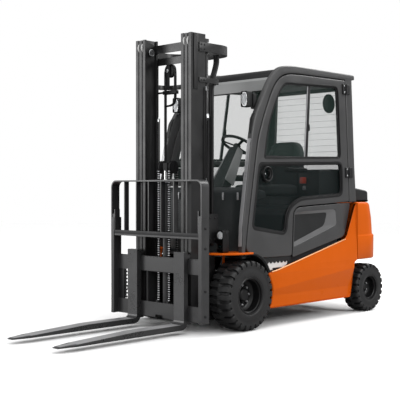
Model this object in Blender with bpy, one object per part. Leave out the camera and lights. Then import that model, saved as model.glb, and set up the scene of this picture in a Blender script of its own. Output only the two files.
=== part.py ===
"""Four-wheel electric counterbalance forklift with a closed cab and a three-stage mast.

Units are metres, +Z is up, +X is the truck's left side and -Y is its front, where the forks are.
The pieces are laid out from the drive axle (y = 0) on the ground (z = 0). An empty then moves them so
that the middle of the whole truck, seen from above, lies over the origin.
"""

import math

import bmesh
import bpy
import numpy as np
from mathutils import Matrix, Vector

# ---------------------------------------------------------------- driving dimensions
SEAT = 0.0003  # gap left between two faces that touch
RUN = 0.0006  # gap of a round piece that turns or slides in another
CLEAR = 0.008  # gap around a door or a panel
ROUND_SIDES = 32  # sides of the wheels and of what turns on an axle

WHEELBASE = 1.76
FRONT_RADIUS = 0.2925
FRONT_TYRE_WIDTH = 0.225
FRONT_RIM_RADIUS = 0.150
REAR_RADIUS = 0.2285
REAR_TYRE_WIDTH = 0.178
REAR_RIM_RADIUS = 0.118
FRONT_TYRE_OUTER_X = 0.617
REAR_TYRE_OUTER_X = 0.609
KINGPIN_X = 0.385
AXLE_TUBE_RADIUS = 0.065
STUB_RADIUS = 0.0445
REAR_STUB_RADIUS = 0.030

FORK_LENGTH = 1.237
FORK_WIDTH = 0.122
FORK_THICKNESS = 0.045
FORK_SPACING = 0.566
FORK_TAPER = 0.720
FORK_HEEL_Z = 0.080
FORK_TOP_Z = 0.663
CARRIAGE_FACE_Y = -0.465
CARRIAGE_HALF_WIDTH = 0.550
CARRIAGE_BAR_DEPTH = 0.028
CARRIAGE_BAR_HEIGHT = 0.125
CARRIAGE_BOTTOM_Z = 0.100
CARRIAGE_TOP_Z = 0.609
SIDE_PLATE_WIDTH = 0.037
SIDE_PLATE_DEPTH = 0.086
SIDE_PLATE_REACH = 0.054
BACKREST_TOP_Z = 1.250
BACKREST_CROSS_Z = 0.775
BACKREST_BARS = 6

MAST_TOP_Z = 2.450
MAST_BOTTOM_Z = 0.090
MAST_FRONT_Y = -0.420
RAIL_DEPTH = 0.168
INNER_RAIL_DEPTH = 0.150
RAIL_FLANGE = 0.018
OUTER_RAIL_X = (0.303, 0.335)
MIDDLE_RAIL_X = (0.260, 0.292)
INNER_RAIL_X = (0.217, 0.249)
ROLLER_Z = (0.180, 2.345)
LIFT_CYLINDER = (0.300, -0.212)
LIFT_BARREL_RADIUS = 0.032
LIFT_ROD_RADIUS = 0.020
LIFT_BARREL_TOP_Z = 1.780
FREE_CYLINDER_Y = -0.378
FREE_BARREL_RADIUS = 0.030
FREE_ROD_RADIUS = 0.020
FREE_BARREL_TOP_Z = 1.240
CHAIN_X = 0.063
SHEAVE_RADIUS = 0.048
SHEAVE_Z = 1.358
TOP_BOW_REACH = 0.115
LOW_BOW_REACH = -0.035

TILT_X = 0.220
TILT_EYE = (-0.115, 0.500)
TILT_PIVOT = (0.440, 0.445)
TILT_BARREL_RADIUS = 0.038
TILT_ROD_RADIUS = 0.019
TILT_BARREL_LENGTH = 0.330
EYE_WIDTH = 0.024
EYE_CLEARANCE = 0.006

BODY_HALF_WIDTH = 0.600
PANEL_THICKNESS = 0.030
ARCH_CLEARANCE = 0.015
CHASSIS_HALF_WIDTH = 0.560
CHASSIS_BOTTOM_Z = 0.165
CHASSIS_WALL = 0.030
FRAME_PLATE_X = (0.345, 0.375)
BULKHEAD_Y = 0.545
BATTERY_SIZE = (1.000, 0.720, 0.640)
BATTERY_FRONT_Y = 0.645
FLOOR_Z = (0.600, 0.620)
COUNTERWEIGHT_FRONT_Y = 1.575
COUNTERWEIGHT_REAR_Y = 2.050
COUNTERWEIGHT_HALF_WIDTH = 0.590
COUNTERWEIGHT_CORNER = 0.300
COUNTERWEIGHT_Z = (0.505, 1.050)

CAB_WAIST_X = 0.575
CAB_WAIST_Z = 0.600
CAB_LEAN = 0.0455
PILLAR_THICKNESS = 0.050
DOOR_THICKNESS = 0.040
GLASS_THICKNESS = 0.006
DOOR_REAR_Y = 1.485
HINGE_Z = (1.330, 2.119)
HINGE_HEIGHT = 0.096
HINGE_OFFSET = 0.012
HINGE_Y = DOOR_REAR_Y + 0.005
HINGE_PIN_RADIUS = 0.005
KNUCKLE_RADIUS = 0.009
ROOF_TOP_Z = 2.270
ROOF_REAR_Y = 1.645
HEADER_Z = 2.030
WINDSCREEN_FOOT_Y = 0.105
WINDSCREEN_HEAD_Y = 0.416

DASH_CREST = (0.150, 1.190)
DASH_REAR = (0.340, 1.155)
SEAT_Z = 1.110
STEERING_CENTRE = (0.520, 1.580)
STEERING_RADIUS = 0.160
STEERING_TILT = math.radians(30.0)

# The whole truck is centred between the fork tips and the back of the counterweight.
FORK_FRONT_Y = CARRIAGE_FACE_Y - FORK_THICKNESS
FORK_TIP_Y = FORK_FRONT_Y - FORK_LENGTH
CENTRE_Y = (FORK_TIP_Y + COUNTERWEIGHT_REAR_Y) / 2.0

# ---------------------------------------------------------------- materials

PAINTS = {
    "orange_paint": ((0.84, 0.16, 0.006), 0.30, 0.0),
    "grey_plastic": ((0.060, 0.060, 0.062), 0.45, 0.0),
    "pale_grey": ((0.38, 0.39, 0.39), 0.45, 0.0),
    "black_steel": ((0.022, 0.022, 0.024), 0.42, 0.0),
    "mast_steel": ((0.050, 0.050, 0.052), 0.40, 0.2),
    "fork_steel": ((0.070, 0.070, 0.074), 0.35, 0.5),
    "cast_iron": ((0.030, 0.030, 0.032), 0.60, 0.3),
    "chromed_rod": ((0.70, 0.71, 0.72), 0.12, 1.0),
    "tyre_rubber": ((0.016, 0.016, 0.017), 0.80, 0.0),
    "black_rim": ((0.014, 0.014, 0.015), 0.45, 0.3),
    "black_plastic": ((0.018, 0.019, 0.020), 0.55, 0.0),
    "seat_fabric": ((0.020, 0.026, 0.026), 0.85, 0.0),
    "tinted_glass": ((0.30, 0.38, 0.37), 0.04, 0.0),
    "lamp_glass": ((0.80, 0.82, 0.84), 0.06, 0.0),
    "battery_case": ((0.035, 0.035, 0.038), 0.60, 0.0),
}


def paint(name: str) -> bpy.types.Material:
    """The Principled material of that name, made the first time it is asked for."""
    found = bpy.data.materials.get(name)
    if found:
        return found
    colour, roughness, metallic = PAINTS[name]
    made = bpy.data.materials.new(name)
    made.use_nodes = True
    made.diffuse_color = (*colour, 1.0)
    shader = made.node_tree.nodes["Principled BSDF"]
    shader.inputs["Base Color"].default_value = (*colour, 1.0)
    shader.inputs["Roughness"].default_value = roughness
    shader.inputs["Metallic"].default_value = metallic
    return made


# ---------------------------------------------------------------- shapes
# Each shape is a closed mesh. Places are (x, y, z); outlines are points in the plane across the axis.


def mesh_of(vertices: list, faces: list) -> bpy.types.Mesh:
    """A closed mesh with its faces pointing out."""
    shape = bmesh.new()
    made = [shape.verts.new(vertex) for vertex in vertices]
    for face in faces:
        shape.faces.new([made[index] for index in face])
    bmesh.ops.recalc_face_normals(shape, faces=shape.faces)
    mesh = bpy.data.meshes.new("shape")
    shape.to_mesh(mesh)
    shape.free()
    return mesh


def loft(rings: list) -> bpy.types.Mesh:
    """Rings of equally many points, joined in order and closed at both ends."""
    count = len(rings[0])
    faces = [list(range(count))[::-1], [(len(rings) - 1) * count + i for i in range(count)]]
    for level in range(len(rings) - 1):
        for i in range(count):
            j = (i + 1) % count
            low, high = level * count, (level + 1) * count
            faces.append([low + i, low + j, high + j, high + i])
    return mesh_of([point for ring in rings for point in ring], faces)


def box(x: tuple, y: tuple, z: tuple) -> bpy.types.Mesh:
    """A block between two values on each axis."""
    ring = [(x[0], y[0]), (x[1], y[0]), (x[1], y[1]), (x[0], y[1])]
    return loft([[(*point, height) for point in ring] for height in z])


def plate(outline: list, x: tuple) -> bpy.types.Mesh:
    """An outline of (y, z) points, extruded along X."""
    return loft([[(side, y, z) for y, z in outline] for side in x])


def slab(outline: list, z: tuple) -> bpy.types.Mesh:
    """An outline of (x, y) points, extruded along Z."""
    return loft([[(x, y, height) for x, y in outline] for height in z])


def panel_y(outline: list, y: tuple) -> bpy.types.Mesh:
    """An outline of (x, z) points, extruded along Y."""
    return loft([[(x, depth, z) for x, z in outline] for depth in y])


def rod(start: tuple, end: tuple, radius: float, sides: int = 16) -> bpy.types.Mesh:
    """A round bar between two points."""
    first, last = Vector(start), Vector(end)
    turn = (last - first).to_track_quat("Z", "Y")
    circle = [
        turn @ Vector((radius * math.cos(a), radius * math.sin(a), 0.0))
        for a in np.linspace(0.0, 2.0 * math.pi, sides, endpoint=False)
    ]
    return loft([[tuple(centre + point) for point in circle] for centre in (first, last)])


def turned(profile: list, y: float, z: float, sides: int = ROUND_SIDES) -> bpy.types.Mesh:
    """A closed profile of (x, radius) points, turned about the line along X through (y, z)."""
    vertices, faces = [], []
    count = len(profile)
    for angle in np.linspace(0.0, 2.0 * math.pi, sides, endpoint=False):
        for x, radius in profile:
            vertices.append((x, y + radius * math.cos(angle), z + radius * math.sin(angle)))
    for turn in range(sides):
        first, second = turn * count, ((turn + 1) % sides) * count
        for i in range(count):
            j = (i + 1) % count
            faces.append([first + i, first + j, second + j, second + i])
    return mesh_of(vertices, faces)


def arc(centre: tuple, radius: float, start: float, end: float, steps: int) -> list:
    """Points of a circle's arc, with the angles in degrees."""
    return [
        (centre[0] + radius * math.cos(a), centre[1] + radius * math.sin(a))
        for a in np.radians(np.linspace(start, end, steps + 1))
    ]


def mirrored(mesh: bpy.types.Mesh, side: int) -> bpy.types.Mesh:
    """The mesh as it is on the left (side 1), or its mirror image on the right (side -1)."""
    if side < 0:
        mesh.transform(Matrix.Scale(-1.0, 4, (1.0, 0.0, 0.0)))
        mesh.flip_normals()
    return mesh


def leaned(mesh: bpy.types.Mesh) -> bpy.types.Mesh:
    """A flat cab side piece, drawn with its outer face at x = 0, moved onto the leaning cab side."""
    for vertex in mesh.vertices:
        vertex.co.x += cab_side_x(vertex.co.z)
    return mesh


def cab_side_x(z: float) -> float:
    """How far out the cab's side lies at a height."""
    return CAB_WAIST_X - CAB_LEAN * (z - CAB_WAIST_Z)


# ---------------------------------------------------------------- objects


def clear_scene() -> None:
    for thing in list(bpy.data.objects):
        bpy.data.objects.remove(thing, do_unlink=True)


def add_object(name: str, mesh: bpy.types.Mesh, root: bpy.types.Object) -> bpy.types.Object:
    thing = bpy.data.objects.new(name, mesh)
    bpy.context.scene.collection.objects.link(thing)
    thing.parent = root
    return thing


def make(root, name: str, colour: str, joined: list, cuts: tuple = ()) -> bpy.types.Object:
    """One node: the first mesh, with the others joined to it and the cuts taken away."""
    node = add_object(name, joined[0], root)
    node.data.name = name
    node.data.materials.append(paint(colour))
    steps = [("UNION", mesh) for mesh in joined[1:]] + [("DIFFERENCE", mesh) for mesh in cuts]
    for number, (operation, mesh) in enumerate(steps):
        helper = add_object(f"{name}.{operation.lower()}{number}", mesh, root)
        helper.hide_render = True
        helper.display_type = "WIRE"
        modifier = node.modifiers.new(f"{operation.title()} {number}", "BOOLEAN")
        modifier.operation = operation
        modifier.object = helper
        modifier.solver = "EXACT"
    node.data.shade_smooth()
    node.data.set_sharp_from_angle(angle=math.radians(35.0))
    return node


def side_name(side: int) -> str:
    return "left" if side > 0 else "right"


# ---------------------------------------------------------------- wheels and axles


def tyre(root, name: str, side: int, y: float, radius: float, bead: float, outer_x: float, width: float):
    """A cushion-shaped solid tyre with round shoulders."""
    inner_x = outer_x - width
    shoulder = 0.16 * width
    wall = 0.020
    profile = [
        (inner_x + 0.012, bead),
        (inner_x, bead + wall),
        (inner_x, radius - shoulder),
        (inner_x + shoulder * 0.35, radius - shoulder * 0.35),
        (inner_x + shoulder, radius),
        (outer_x - shoulder, radius),
        (outer_x - shoulder * 0.35, radius - shoulder * 0.35),
        (outer_x, radius - shoulder),
        (outer_x, bead + wall),
        (outer_x - 0.012, bead),
    ]
    make(root, name, "tyre_rubber", [mirrored(turned(profile, y, radius), side)])


def rim(root, name: str, side: int, y: float, radius: float, bead: float, outer_x: float, width: float,
        disc_x: tuple, bore: float):
    """A dished rim: a barrel under the tyre and a deep-set disc with a bore for the axle end."""
    seat = bead - RUN
    barrel = seat - 0.010
    inner_x = outer_x - width + 0.012
    edge_x = outer_x - 0.012
    profile = [
        (inner_x, seat),
        (inner_x, barrel),
        (disc_x[0], barrel),
        (disc_x[0], bore),
        (disc_x[1], bore),
        (disc_x[1], barrel),
        (edge_x, barrel),
        (edge_x, seat),
    ]
    make(root, name, "black_rim", [mirrored(turned(profile, y, radius), side)])


def wheels(root) -> None:
    for side in (1, -1):
        where = side_name(side)
        tyre(root, f"tyre_front_{where}", side, 0.0, FRONT_RADIUS, FRONT_RIM_RADIUS, FRONT_TYRE_OUTER_X,
             FRONT_TYRE_WIDTH)
        rim(root, f"rim_front_{where}", side, 0.0, FRONT_RADIUS, FRONT_RIM_RADIUS, FRONT_TYRE_OUTER_X,
            FRONT_TYRE_WIDTH, (0.470, 0.490), STUB_RADIUS + RUN)
        tyre(root, f"tyre_rear_{where}", side, WHEELBASE, REAR_RADIUS, REAR_RIM_RADIUS, REAR_TYRE_OUTER_X,
             REAR_TYRE_WIDTH)
        rim(root, f"rim_rear_{where}", side, WHEELBASE, REAR_RADIUS, REAR_RIM_RADIUS, REAR_TYRE_OUTER_X,
            REAR_TYRE_WIDTH, (0.500, 0.518), REAR_STUB_RADIUS + RUN)


def drive_axle(root) -> None:
    """Axle tube with hub ends that carry the front rims, and the gearbox between them."""
    tube_end, hub_end, stub_end = 0.3785, 0.405, 0.530
    profile = [
        (-stub_end, 0.0),
        (-stub_end, STUB_RADIUS),
        (-hub_end, STUB_RADIUS),
        (-hub_end, 0.090),
        (-tube_end, 0.090),
        (-tube_end, AXLE_TUBE_RADIUS),
        (tube_end, AXLE_TUBE_RADIUS),
        (tube_end, 0.090),
        (hub_end, 0.090),
        (hub_end, STUB_RADIUS),
        (stub_end, STUB_RADIUS),
        (stub_end, 0.0),
    ]
    rings = []
    for x, radius in profile[1:-1]:
        rings.append([
            (x, radius * math.cos(a), FRONT_RADIUS + radius * math.sin(a))
            for a in np.linspace(0.0, 2.0 * math.pi, ROUND_SIDES, endpoint=False)
        ])
    gearbox = box((-0.170, 0.170), (-0.095, 0.130), (0.200, 0.415))
    make(root, "drive_axle", "cast_iron", [loft(rings), gearbox])


def steer_axle(root) -> None:
    """A beam with a yoke at each end for the knuckle, under a block that bolts to the chassis tail."""
    y, z = WHEELBASE, REAR_RADIUS
    beam = box((-0.335, 0.335), (y - 0.032, y + 0.032), (z - 0.050, z + 0.050))
    block = box((-0.085, 0.085), (y - 0.080, y + 0.080), (z - 0.060, 0.360 - SEAT))
    shapes = [beam, block]
    for side in (1, -1):
        cheek = box((0.300, 0.335), (y - 0.030, y + 0.030), (z - 0.090, z + 0.090))
        shapes.append(mirrored(cheek, side))
        for low, high in ((z - 0.090, z - 0.068), (z + 0.068, z + 0.090)):
            arm = box((0.320, KINGPIN_X), (y - 0.028, y + 0.028), (low, high))
            eye = rod((KINGPIN_X, y, low), (KINGPIN_X, y, high), 0.034)
            shapes += [mirrored(arm, side), mirrored(eye, side)]
    cylinder = rod((-0.200, y + 0.066, z), (0.200, y + 0.066, z), 0.030, 20)
    shapes.append(cylinder)
    make(root, "steer_axle", "cast_iron", shapes)


def knuckles(root) -> None:
    """The kingpin barrel and stub axle that carry each rear wheel."""
    y, z = WHEELBASE, REAR_RADIUS
    for side in (1, -1):
        barrel = rod((KINGPIN_X, y, z - 0.068 + SEAT), (KINGPIN_X, y, z + 0.068 - SEAT), 0.029)
        stub = rod((KINGPIN_X, y, z), (0.535, y, z), REAR_STUB_RADIUS, 32)
        flange = rod((0.470, y, z), (0.499, y, z), 0.060, 32)
        shapes = [mirrored(barrel, side), mirrored(stub, side), mirrored(flange, side)]
        make(root, f"knuckle_{side_name(side)}", "cast_iron", shapes)


# ---------------------------------------------------------------- chassis and body


def chassis(root) -> None:
    """Frame plates over the drive axle, the battery box and the tail that carries the counterweight."""
    wide, wall = CHASSIS_HALF_WIDTH, CHASSIS_WALL
    front_y, rear_y = 0.335, 1.420
    bulkhead_y = BULKHEAD_Y
    top_z = FLOOR_Z[0] - SEAT
    shapes = [
        box((-wide, wide), (front_y, rear_y), (CHASSIS_BOTTOM_Z, CHASSIS_BOTTOM_Z + wall)),
        box((-wide, wide), (bulkhead_y, bulkhead_y + wall), (CHASSIS_BOTTOM_Z, 0.575)),
        box((-0.510, 0.510), (bulkhead_y, bulkhead_y + wall), (0.500, top_z)),
        box((-wide, wide), (rear_y - wall, rear_y), (CHASSIS_BOTTOM_Z, 0.480)),
        box((-0.500, 0.500), (rear_y - wall, rear_y), (0.400, 0.900 - SEAT)),
        box((-0.170, 0.170), (rear_y - wall / 2.0, 1.960), (0.360, COUNTERWEIGHT_Z[0] - SEAT)),
    ]
    axle_top = FRONT_RADIUS + AXLE_TUBE_RADIUS + SEAT
    for side in (1, -1):
        sill = box((wide - wall, wide), (front_y, rear_y), (CHASSIS_BOTTOM_Z, 0.480))
        frame = plate(
            [(-0.090, axle_top), (front_y, axle_top), (front_y, CHASSIS_BOTTOM_Z + 0.010),
             (bulkhead_y + 0.010, CHASSIS_BOTTOM_Z + 0.010), (bulkhead_y + 0.010, top_z), (-0.060, top_z),
             (-0.090, top_z - 0.060)],
            FRAME_PLATE_X,
        )
        ears = plate(tilt_ear_outline(bulkhead_y), (TILT_X + EYE_WIDTH / 2.0 + RUN, TILT_X + 0.030))
        other = plate(tilt_ear_outline(bulkhead_y), (TILT_X - 0.030, TILT_X - EYE_WIDTH / 2.0 - RUN))
        shapes += [mirrored(mesh, side) for mesh in (sill, frame, ears, other)]
    make(root, "chassis", "black_steel", shapes)


def tilt_ear_outline(wall_y: float) -> list:
    """A plate from a wall to round the tilt cylinder's rear pivot."""
    y, z = TILT_PIVOT
    return [(wall_y + 0.010, z - 0.045), (wall_y + 0.010, z + 0.045)] + arc((y, z), 0.034, 90.0, 270.0, 8)


def battery(root) -> None:
    """The traction battery: one plain block on the floor of its box."""
    length_x, length_y, height = BATTERY_SIZE
    bottom = CHASSIS_BOTTOM_Z + CHASSIS_WALL + SEAT
    make(root, "battery", "battery_case", [
        box((-length_x / 2.0, length_x / 2.0), (BATTERY_FRONT_Y, BATTERY_FRONT_Y + length_y),
            (bottom, bottom + height))
    ])


def counterweight(root) -> None:
    """A cast block with round rear corners, drawn in a little above the bumper step."""
    half, corner = COUNTERWEIGHT_HALF_WIDTH, COUNTERWEIGHT_CORNER
    front, rear = COUNTERWEIGHT_FRONT_Y, COUNTERWEIGHT_REAR_Y
    low, high = COUNTERWEIGHT_Z
    levels = [(low, 0.0), (0.730, 0.0), (0.738, 0.012), (0.897, 0.030), (1.020, 0.062), (high, 0.085)]
    rings = []
    for z, draft in levels:
        back = rear - draft
        centre_y = back - corner
        right_side = arc((half - corner, centre_y), corner, 0.0, 90.0, 8)
        left_side = [(-x, y) for x, y in reversed(right_side)]
        plan = [(half, front)] + right_side + left_side + [(-half, front)]
        rings.append([(x, y, z) for x, y in plan])
    make(root, "counterweight", "orange_paint", [loft(rings)])


def flank_outline() -> list:
    """The orange side panel, from behind the front wheel up to the counterweight."""
    low_z, nose_z = 0.161, 0.459
    radius = FRONT_RADIUS + ARCH_CLEARANCE
    start = math.degrees(math.asin((nose_z - FRONT_RADIUS) / radius))
    end = math.degrees(math.asin((low_z - FRONT_RADIUS) / radius))
    rear = [
        (1.456, low_z),
        (1.522, 0.487),
        (1.568, 0.501),
        (1.568, 1.040),
        (1.535, 1.020),
        (1.392, 0.712),
        (0.487, 0.509),
    ]
    return rear + arc((0.0, FRONT_RADIUS), radius, start, end, 6)


def flanks(root) -> None:
    for side in (1, -1):
        skin = plate(flank_outline(), (BODY_HALF_WIDTH - PANEL_THICKNESS, BODY_HALF_WIDTH))
        tie = box((CHASSIS_HALF_WIDTH + SEAT, BODY_HALF_WIDTH - 0.010), (0.500, 1.350), (0.220, 0.300))
        make(root, f"flank_{side_name(side)}", "orange_paint", [mirrored(skin, side), mirrored(tie, side)])


def fender_outline() -> list:
    """The wheel arch strip over the front wheel: its top line, then its underside."""
    top = [(-0.330, 0.650), (0.045, 0.650), (0.130, 0.622), (0.205, 0.565), (0.262, 0.474)]
    under = [(0.248, 0.470), (0.192, 0.556), (0.122, 0.609), (0.042, 0.636), (-0.330, 0.636)]
    return top + under


def fenders(root) -> None:
    """The orange cover above each front wheel, with the foot that bolts to the frame plate."""
    for side in (1, -1):
        lip = plate(fender_outline(), (0.585, FRONT_TYRE_OUTER_X - 0.002))
        top = box((0.378, 0.600), (-0.330, -0.072), (0.636, 0.650))
        foot = box((FRAME_PLATE_X[1] + SEAT, 0.387), (-0.089, -0.072), (0.520, 0.650))
        shapes = [mirrored(mesh, side) for mesh in (lip, top, foot)]
        make(root, f"fender_{side_name(side)}", "orange_paint", shapes)


def floor_plate(root) -> None:
    """The footwell floor, with a lower step outside each door."""
    floor = box((-0.520, 0.520), (-0.050, BULKHEAD_Y + CHASSIS_WALL), FLOOR_Z)
    shapes = [floor]
    for side in (1, -1):
        riser = box((0.500, 0.516), (0.345, BULKHEAD_Y - SEAT), (0.480 + SEAT, FLOOR_Z[1] - 0.002))
        step = box((0.500, BODY_HALF_WIDTH - PANEL_THICKNESS - CLEAR), (0.345, BULKHEAD_Y - SEAT),
                   (0.480 + SEAT, 0.500))
        shelf = box((0.500, 0.572), (-0.064, -0.020), FLOOR_Z)
        shapes += [mirrored(riser, side), mirrored(step, side), mirrored(shelf, side)]
    make(root, "floor_plate", "black_steel", shapes)


def front_cowl(root) -> None:
    """The front wall of the footwell, bent back at the top into the dashboard."""
    outline = [
        (0.030, FLOOR_Z[1] + SEAT),
        (0.070, FLOOR_Z[1] + SEAT),
        (0.080, 1.060),
        (DASH_REAR[0], DASH_REAR[1] - 0.060),
        DASH_REAR,
        DASH_CREST,
        (0.075, DASH_CREST[1]),
        (0.040, 1.150),
    ]
    make(root, "front_cowl", "black_plastic", [plate(outline, (-0.490, 0.490))])


def hood_panels(root) -> None:
    """The grey side covers of the battery, below and behind each door."""
    outline = [
        (0.600, 0.578),
        (1.384, 0.735),
        (1.515, 1.020),
        (1.512, 1.046),
        (0.715, 1.012),
        (0.672, 0.994),
        (0.642, 0.958),
        (0.612, 0.680),
    ]
    for side in (1, -1):
        skin = leaned(plate(outline, (SEAT - DOOR_THICKNESS - CLEAR, 0.0)))
        make(root, f"hood_panel_{side_name(side)}", "grey_plastic", [mirrored(skin, side)])


def hood_deck(root) -> None:
    """The deck over the battery: it closes the box and carries the seat's base."""
    inner = cab_side_x(1.046) - DOOR_THICKNESS - CLEAR
    low = FLOOR_Z[1] + SEAT
    deck = plate(
        [(0.580, low), (0.620, low), (0.640, 0.900), (1.500, 0.900), (1.500, 1.040), (0.720, 1.030),
         (0.660, 1.000), (0.630, 0.940)],
        (-inner, inner),
    )
    base = box((-0.190, 0.190), (0.740, 1.240), (1.020, SEAT_Z - SEAT))
    make(root, "hood_deck", "black_plastic", [deck, base])


def rear_cover(root) -> None:
    """The black cover on top of the counterweight, behind the cab."""
    low = COUNTERWEIGHT_Z[1] + SEAT
    outline = [(1.655, low), (1.885, low), (1.880, 1.150), (1.860, 1.160), (1.680, 1.186), (1.655, 1.180)]
    make(root, "rear_cover", "black_plastic", [plate(outline, (-0.500, 0.500))])


# ---------------------------------------------------------------- cab


def door_outline() -> list:
    """The door's edge, from its front foot up round the roof curve, down the hinge side and along the seam."""
    return [
        (-0.010, 0.662),
        (0.030, 0.876),
        (0.112, 1.240),
        (0.195, 1.611),
        (0.292, 1.827),
        (0.380, 1.990),
        (0.445, 2.085),
        (0.520, 2.150),
        (0.620, 2.186),
        (0.760, 2.196),
        (DOOR_REAR_Y, 2.204),
        (DOOR_REAR_Y, 1.056),
        (0.712, 1.023),
        (0.664, 1.003),
        (0.632, 0.962),
        (0.602, 0.680),
        (0.592, 0.590),
        (0.200, 0.594),
        (0.080, 0.618),
    ]


def upper_window() -> list:
    return [(0.262, 1.442), (0.330, 1.728), (0.470, 1.990), (0.545, 2.082), (0.600, 2.110), (1.340, 2.136),
            (1.345, 1.474)]


def lower_window() -> list:
    return [(0.205, 1.385), (1.350, 1.416), (1.346, 1.135), (0.745, 1.098), (0.600, 1.030), (0.540, 0.940),
            (0.516, 0.790), (0.088, 0.852)]


def cab_side(root, side: int) -> None:
    """The arch around a door: front pillar, roof rail and rear pillar in one bent tube frame."""
    outer = [
        (-0.062, FLOOR_Z[1] + SEAT),
        (-0.048, 0.760),
        (-0.042, 0.878),
        (0.028, 1.240),
        (0.103, 1.616),
        (0.156, 1.792),
        (0.301, 2.014),
        (0.372, 2.122),
        (0.450, 2.200),
        (0.540, 2.252),
        (0.700, ROOF_TOP_Z),
        (ROOF_REAR_Y, ROOF_TOP_Z),
        (ROOF_REAR_Y, 2.222),
        (1.600, 2.215),
        (1.596, 1.400),
        (1.604, COUNTERWEIGHT_Z[1] + SEAT),
        (DOOR_REAR_Y + CLEAR, COUNTERWEIGHT_Z[1] + SEAT),
    ]
    inner = [
        (DOOR_REAR_Y + CLEAR, 2.212),
        (0.758, 2.204),
        (0.617, 2.194),
        (0.515, 2.157),
        (0.438, 2.090),
        (0.373, 1.994),
        (0.285, 1.831),
        (0.187, 1.613),
        (0.104, 1.242),
        (0.022, 0.878),
        (-0.018, 0.662),
        (-0.022, FLOOR_Z[1] + SEAT),
    ]
    shapes = [plate(outer + inner, (-PILLAR_THICKNESS, 0.0))]
    for z in HINGE_Z:
        low, high = z - HINGE_HEIGHT / 2.0, z + HINGE_HEIGHT / 2.0
        near = HINGE_Y + KNUCKLE_RADIUS
        shapes.append(box((-0.006, HINGE_OFFSET), (near + 0.001, near + 0.046), (low, high)))
        shapes.append(box((0.005, HINGE_OFFSET - 0.002), (HINGE_Y, near + 0.005), (low, z - 0.001)))
        shapes.append(upright(low, z, KNUCKLE_RADIUS))
        shapes.append(upright(z - 0.010, high, HINGE_PIN_RADIUS))
    shapes = [mirrored(leaned(mesh), side) for mesh in shapes]
    make(root, f"cab_side_{side_name(side)}", "grey_plastic", shapes)


def upright(low: float, high: float, radius: float) -> bpy.types.Mesh:
    """A round bar on the line of the door hinges, before the cab's lean."""
    return rod((HINGE_OFFSET, HINGE_Y, low), (HINGE_OFFSET, HINGE_Y, high), radius)


def roof_panel(root) -> None:
    """The roof skin between the two arches, turned down at the front into the header."""
    outline = [
        (0.410, HEADER_Z),
        (0.455, HEADER_Z),
        (0.500, 2.120),
        (0.640, 2.190),
        (ROOF_REAR_Y, 2.215),
        (ROOF_REAR_Y, 2.250),
        (0.660, 2.250),
        (0.540, 2.225),
        (0.470, 2.190),
        (0.425, 2.130),
    ]
    inner = cab_side_x(2.250) - PILLAR_THICKNESS - SEAT
    make(root, "roof_panel", "black_plastic", [plate(outline, (-inner, inner))])


def windscreen(root) -> None:
    """A flat pane that leans back from the dashboard to the header."""
    rings = []
    for y, z in ((WINDSCREEN_FOOT_Y, DASH_CREST[1] + SEAT), (WINDSCREEN_HEAD_Y, HEADER_Z - SEAT)):
        half = cab_side_x(z) - PILLAR_THICKNESS - 0.002
        rings.append([(-half, y, z), (half, y, z), (half, y + GLASS_THICKNESS, z),
                      (-half, y + GLASS_THICKNESS, z)])
    make(root, "windscreen", "tinted_glass", [loft(rings)])


def rear_wall(root) -> None:
    """The frame between the rear pillars and the pane in it."""
    front, back = 1.552, 1.590
    low, high = COUNTERWEIGHT_Z[1] + SEAT, 2.200

    def outline(bottom: float, top: float, margin: float) -> list:
        points = [(-1, bottom), (1, bottom), (1, top), (-1, top)]
        return [(sign * (cab_side_x(z) - PILLAR_THICKNESS - margin), z) for sign, z in points]

    window_low, window_high, margin = 1.240, 2.120, 0.060
    frame = panel_y(outline(low, high, SEAT), (front, back))
    hole = panel_y(outline(window_low, window_high, margin), (front - 0.02, back + 0.02))
    make(root, "rear_frame", "grey_plastic", [frame], (hole,))
    pane = panel_y(outline(window_low + 0.0005, window_high - 0.0005, margin + 0.0005), (1.570, 1.576))
    make(root, "rear_window", "tinted_glass", [pane])


def door(root, side: int) -> None:
    """The door with its two openings, hinge knuckles, and one pane behind both openings."""
    depth = DOOR_THICKNESS
    shapes = [plate(door_outline(), (-depth, 0.0))]
    cuts = [plate(window, (-depth - 0.02, 0.02)) for window in (upper_window(), lower_window())]
    for z in HINGE_Z:
        low, high = z - HINGE_HEIGHT / 2.0, z + HINGE_HEIGHT / 2.0
        far = HINGE_Y - KNUCKLE_RADIUS
        shapes.append(box((-0.006, HINGE_OFFSET), (far - 0.050, far - 0.003), (low, high)))
        shapes.append(box((0.005, HINGE_OFFSET - 0.002), (far - 0.006, HINGE_Y), (z + 0.002, high - 0.001)))
        shapes.append(upright(z + RUN, high, KNUCKLE_RADIUS))
        cuts.append(upright(z - 0.02, high + 0.02, HINGE_PIN_RADIUS + RUN))
    shapes, cuts = ([mirrored(leaned(mesh), side) for mesh in group] for group in (shapes, cuts))
    make(root, f"door_{side_name(side)}", "grey_plastic", shapes, tuple(cuts))
    glass = []
    for window in (upper_window(), lower_window()):
        glass.append(leaned(plate(shrunk(window, 0.0006), (-0.026, -0.026 + GLASS_THICKNESS))))
    for name, pane in zip(("upper", "lower"), glass):
        make(root, f"door_glass_{name}_{side_name(side)}", "tinted_glass", [mirrored(pane, side)])


def shrunk(outline: list, margin: float) -> list:
    """The outline moved inwards by a margin, corner by corner."""
    points = [Vector(point) for point in outline]
    area = sum(a.x * b.y - b.x * a.y for a, b in zip(points, points[1:] + points[:1]))
    turn = 1.0 if area > 0.0 else -1.0
    found = []
    for before, here, after in zip(points[-1:] + points[:-1], points, points[1:] + points[:1]):
        first = (here - before).normalized()
        second = (after - here).normalized()
        normal_1 = Vector((-first.y, first.x)) * turn
        normal_2 = Vector((-second.y, second.x)) * turn
        middle = (normal_1 + normal_2).normalized()
        found.append(tuple(here + middle * (margin / middle.dot(normal_1))))
    return found


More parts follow.
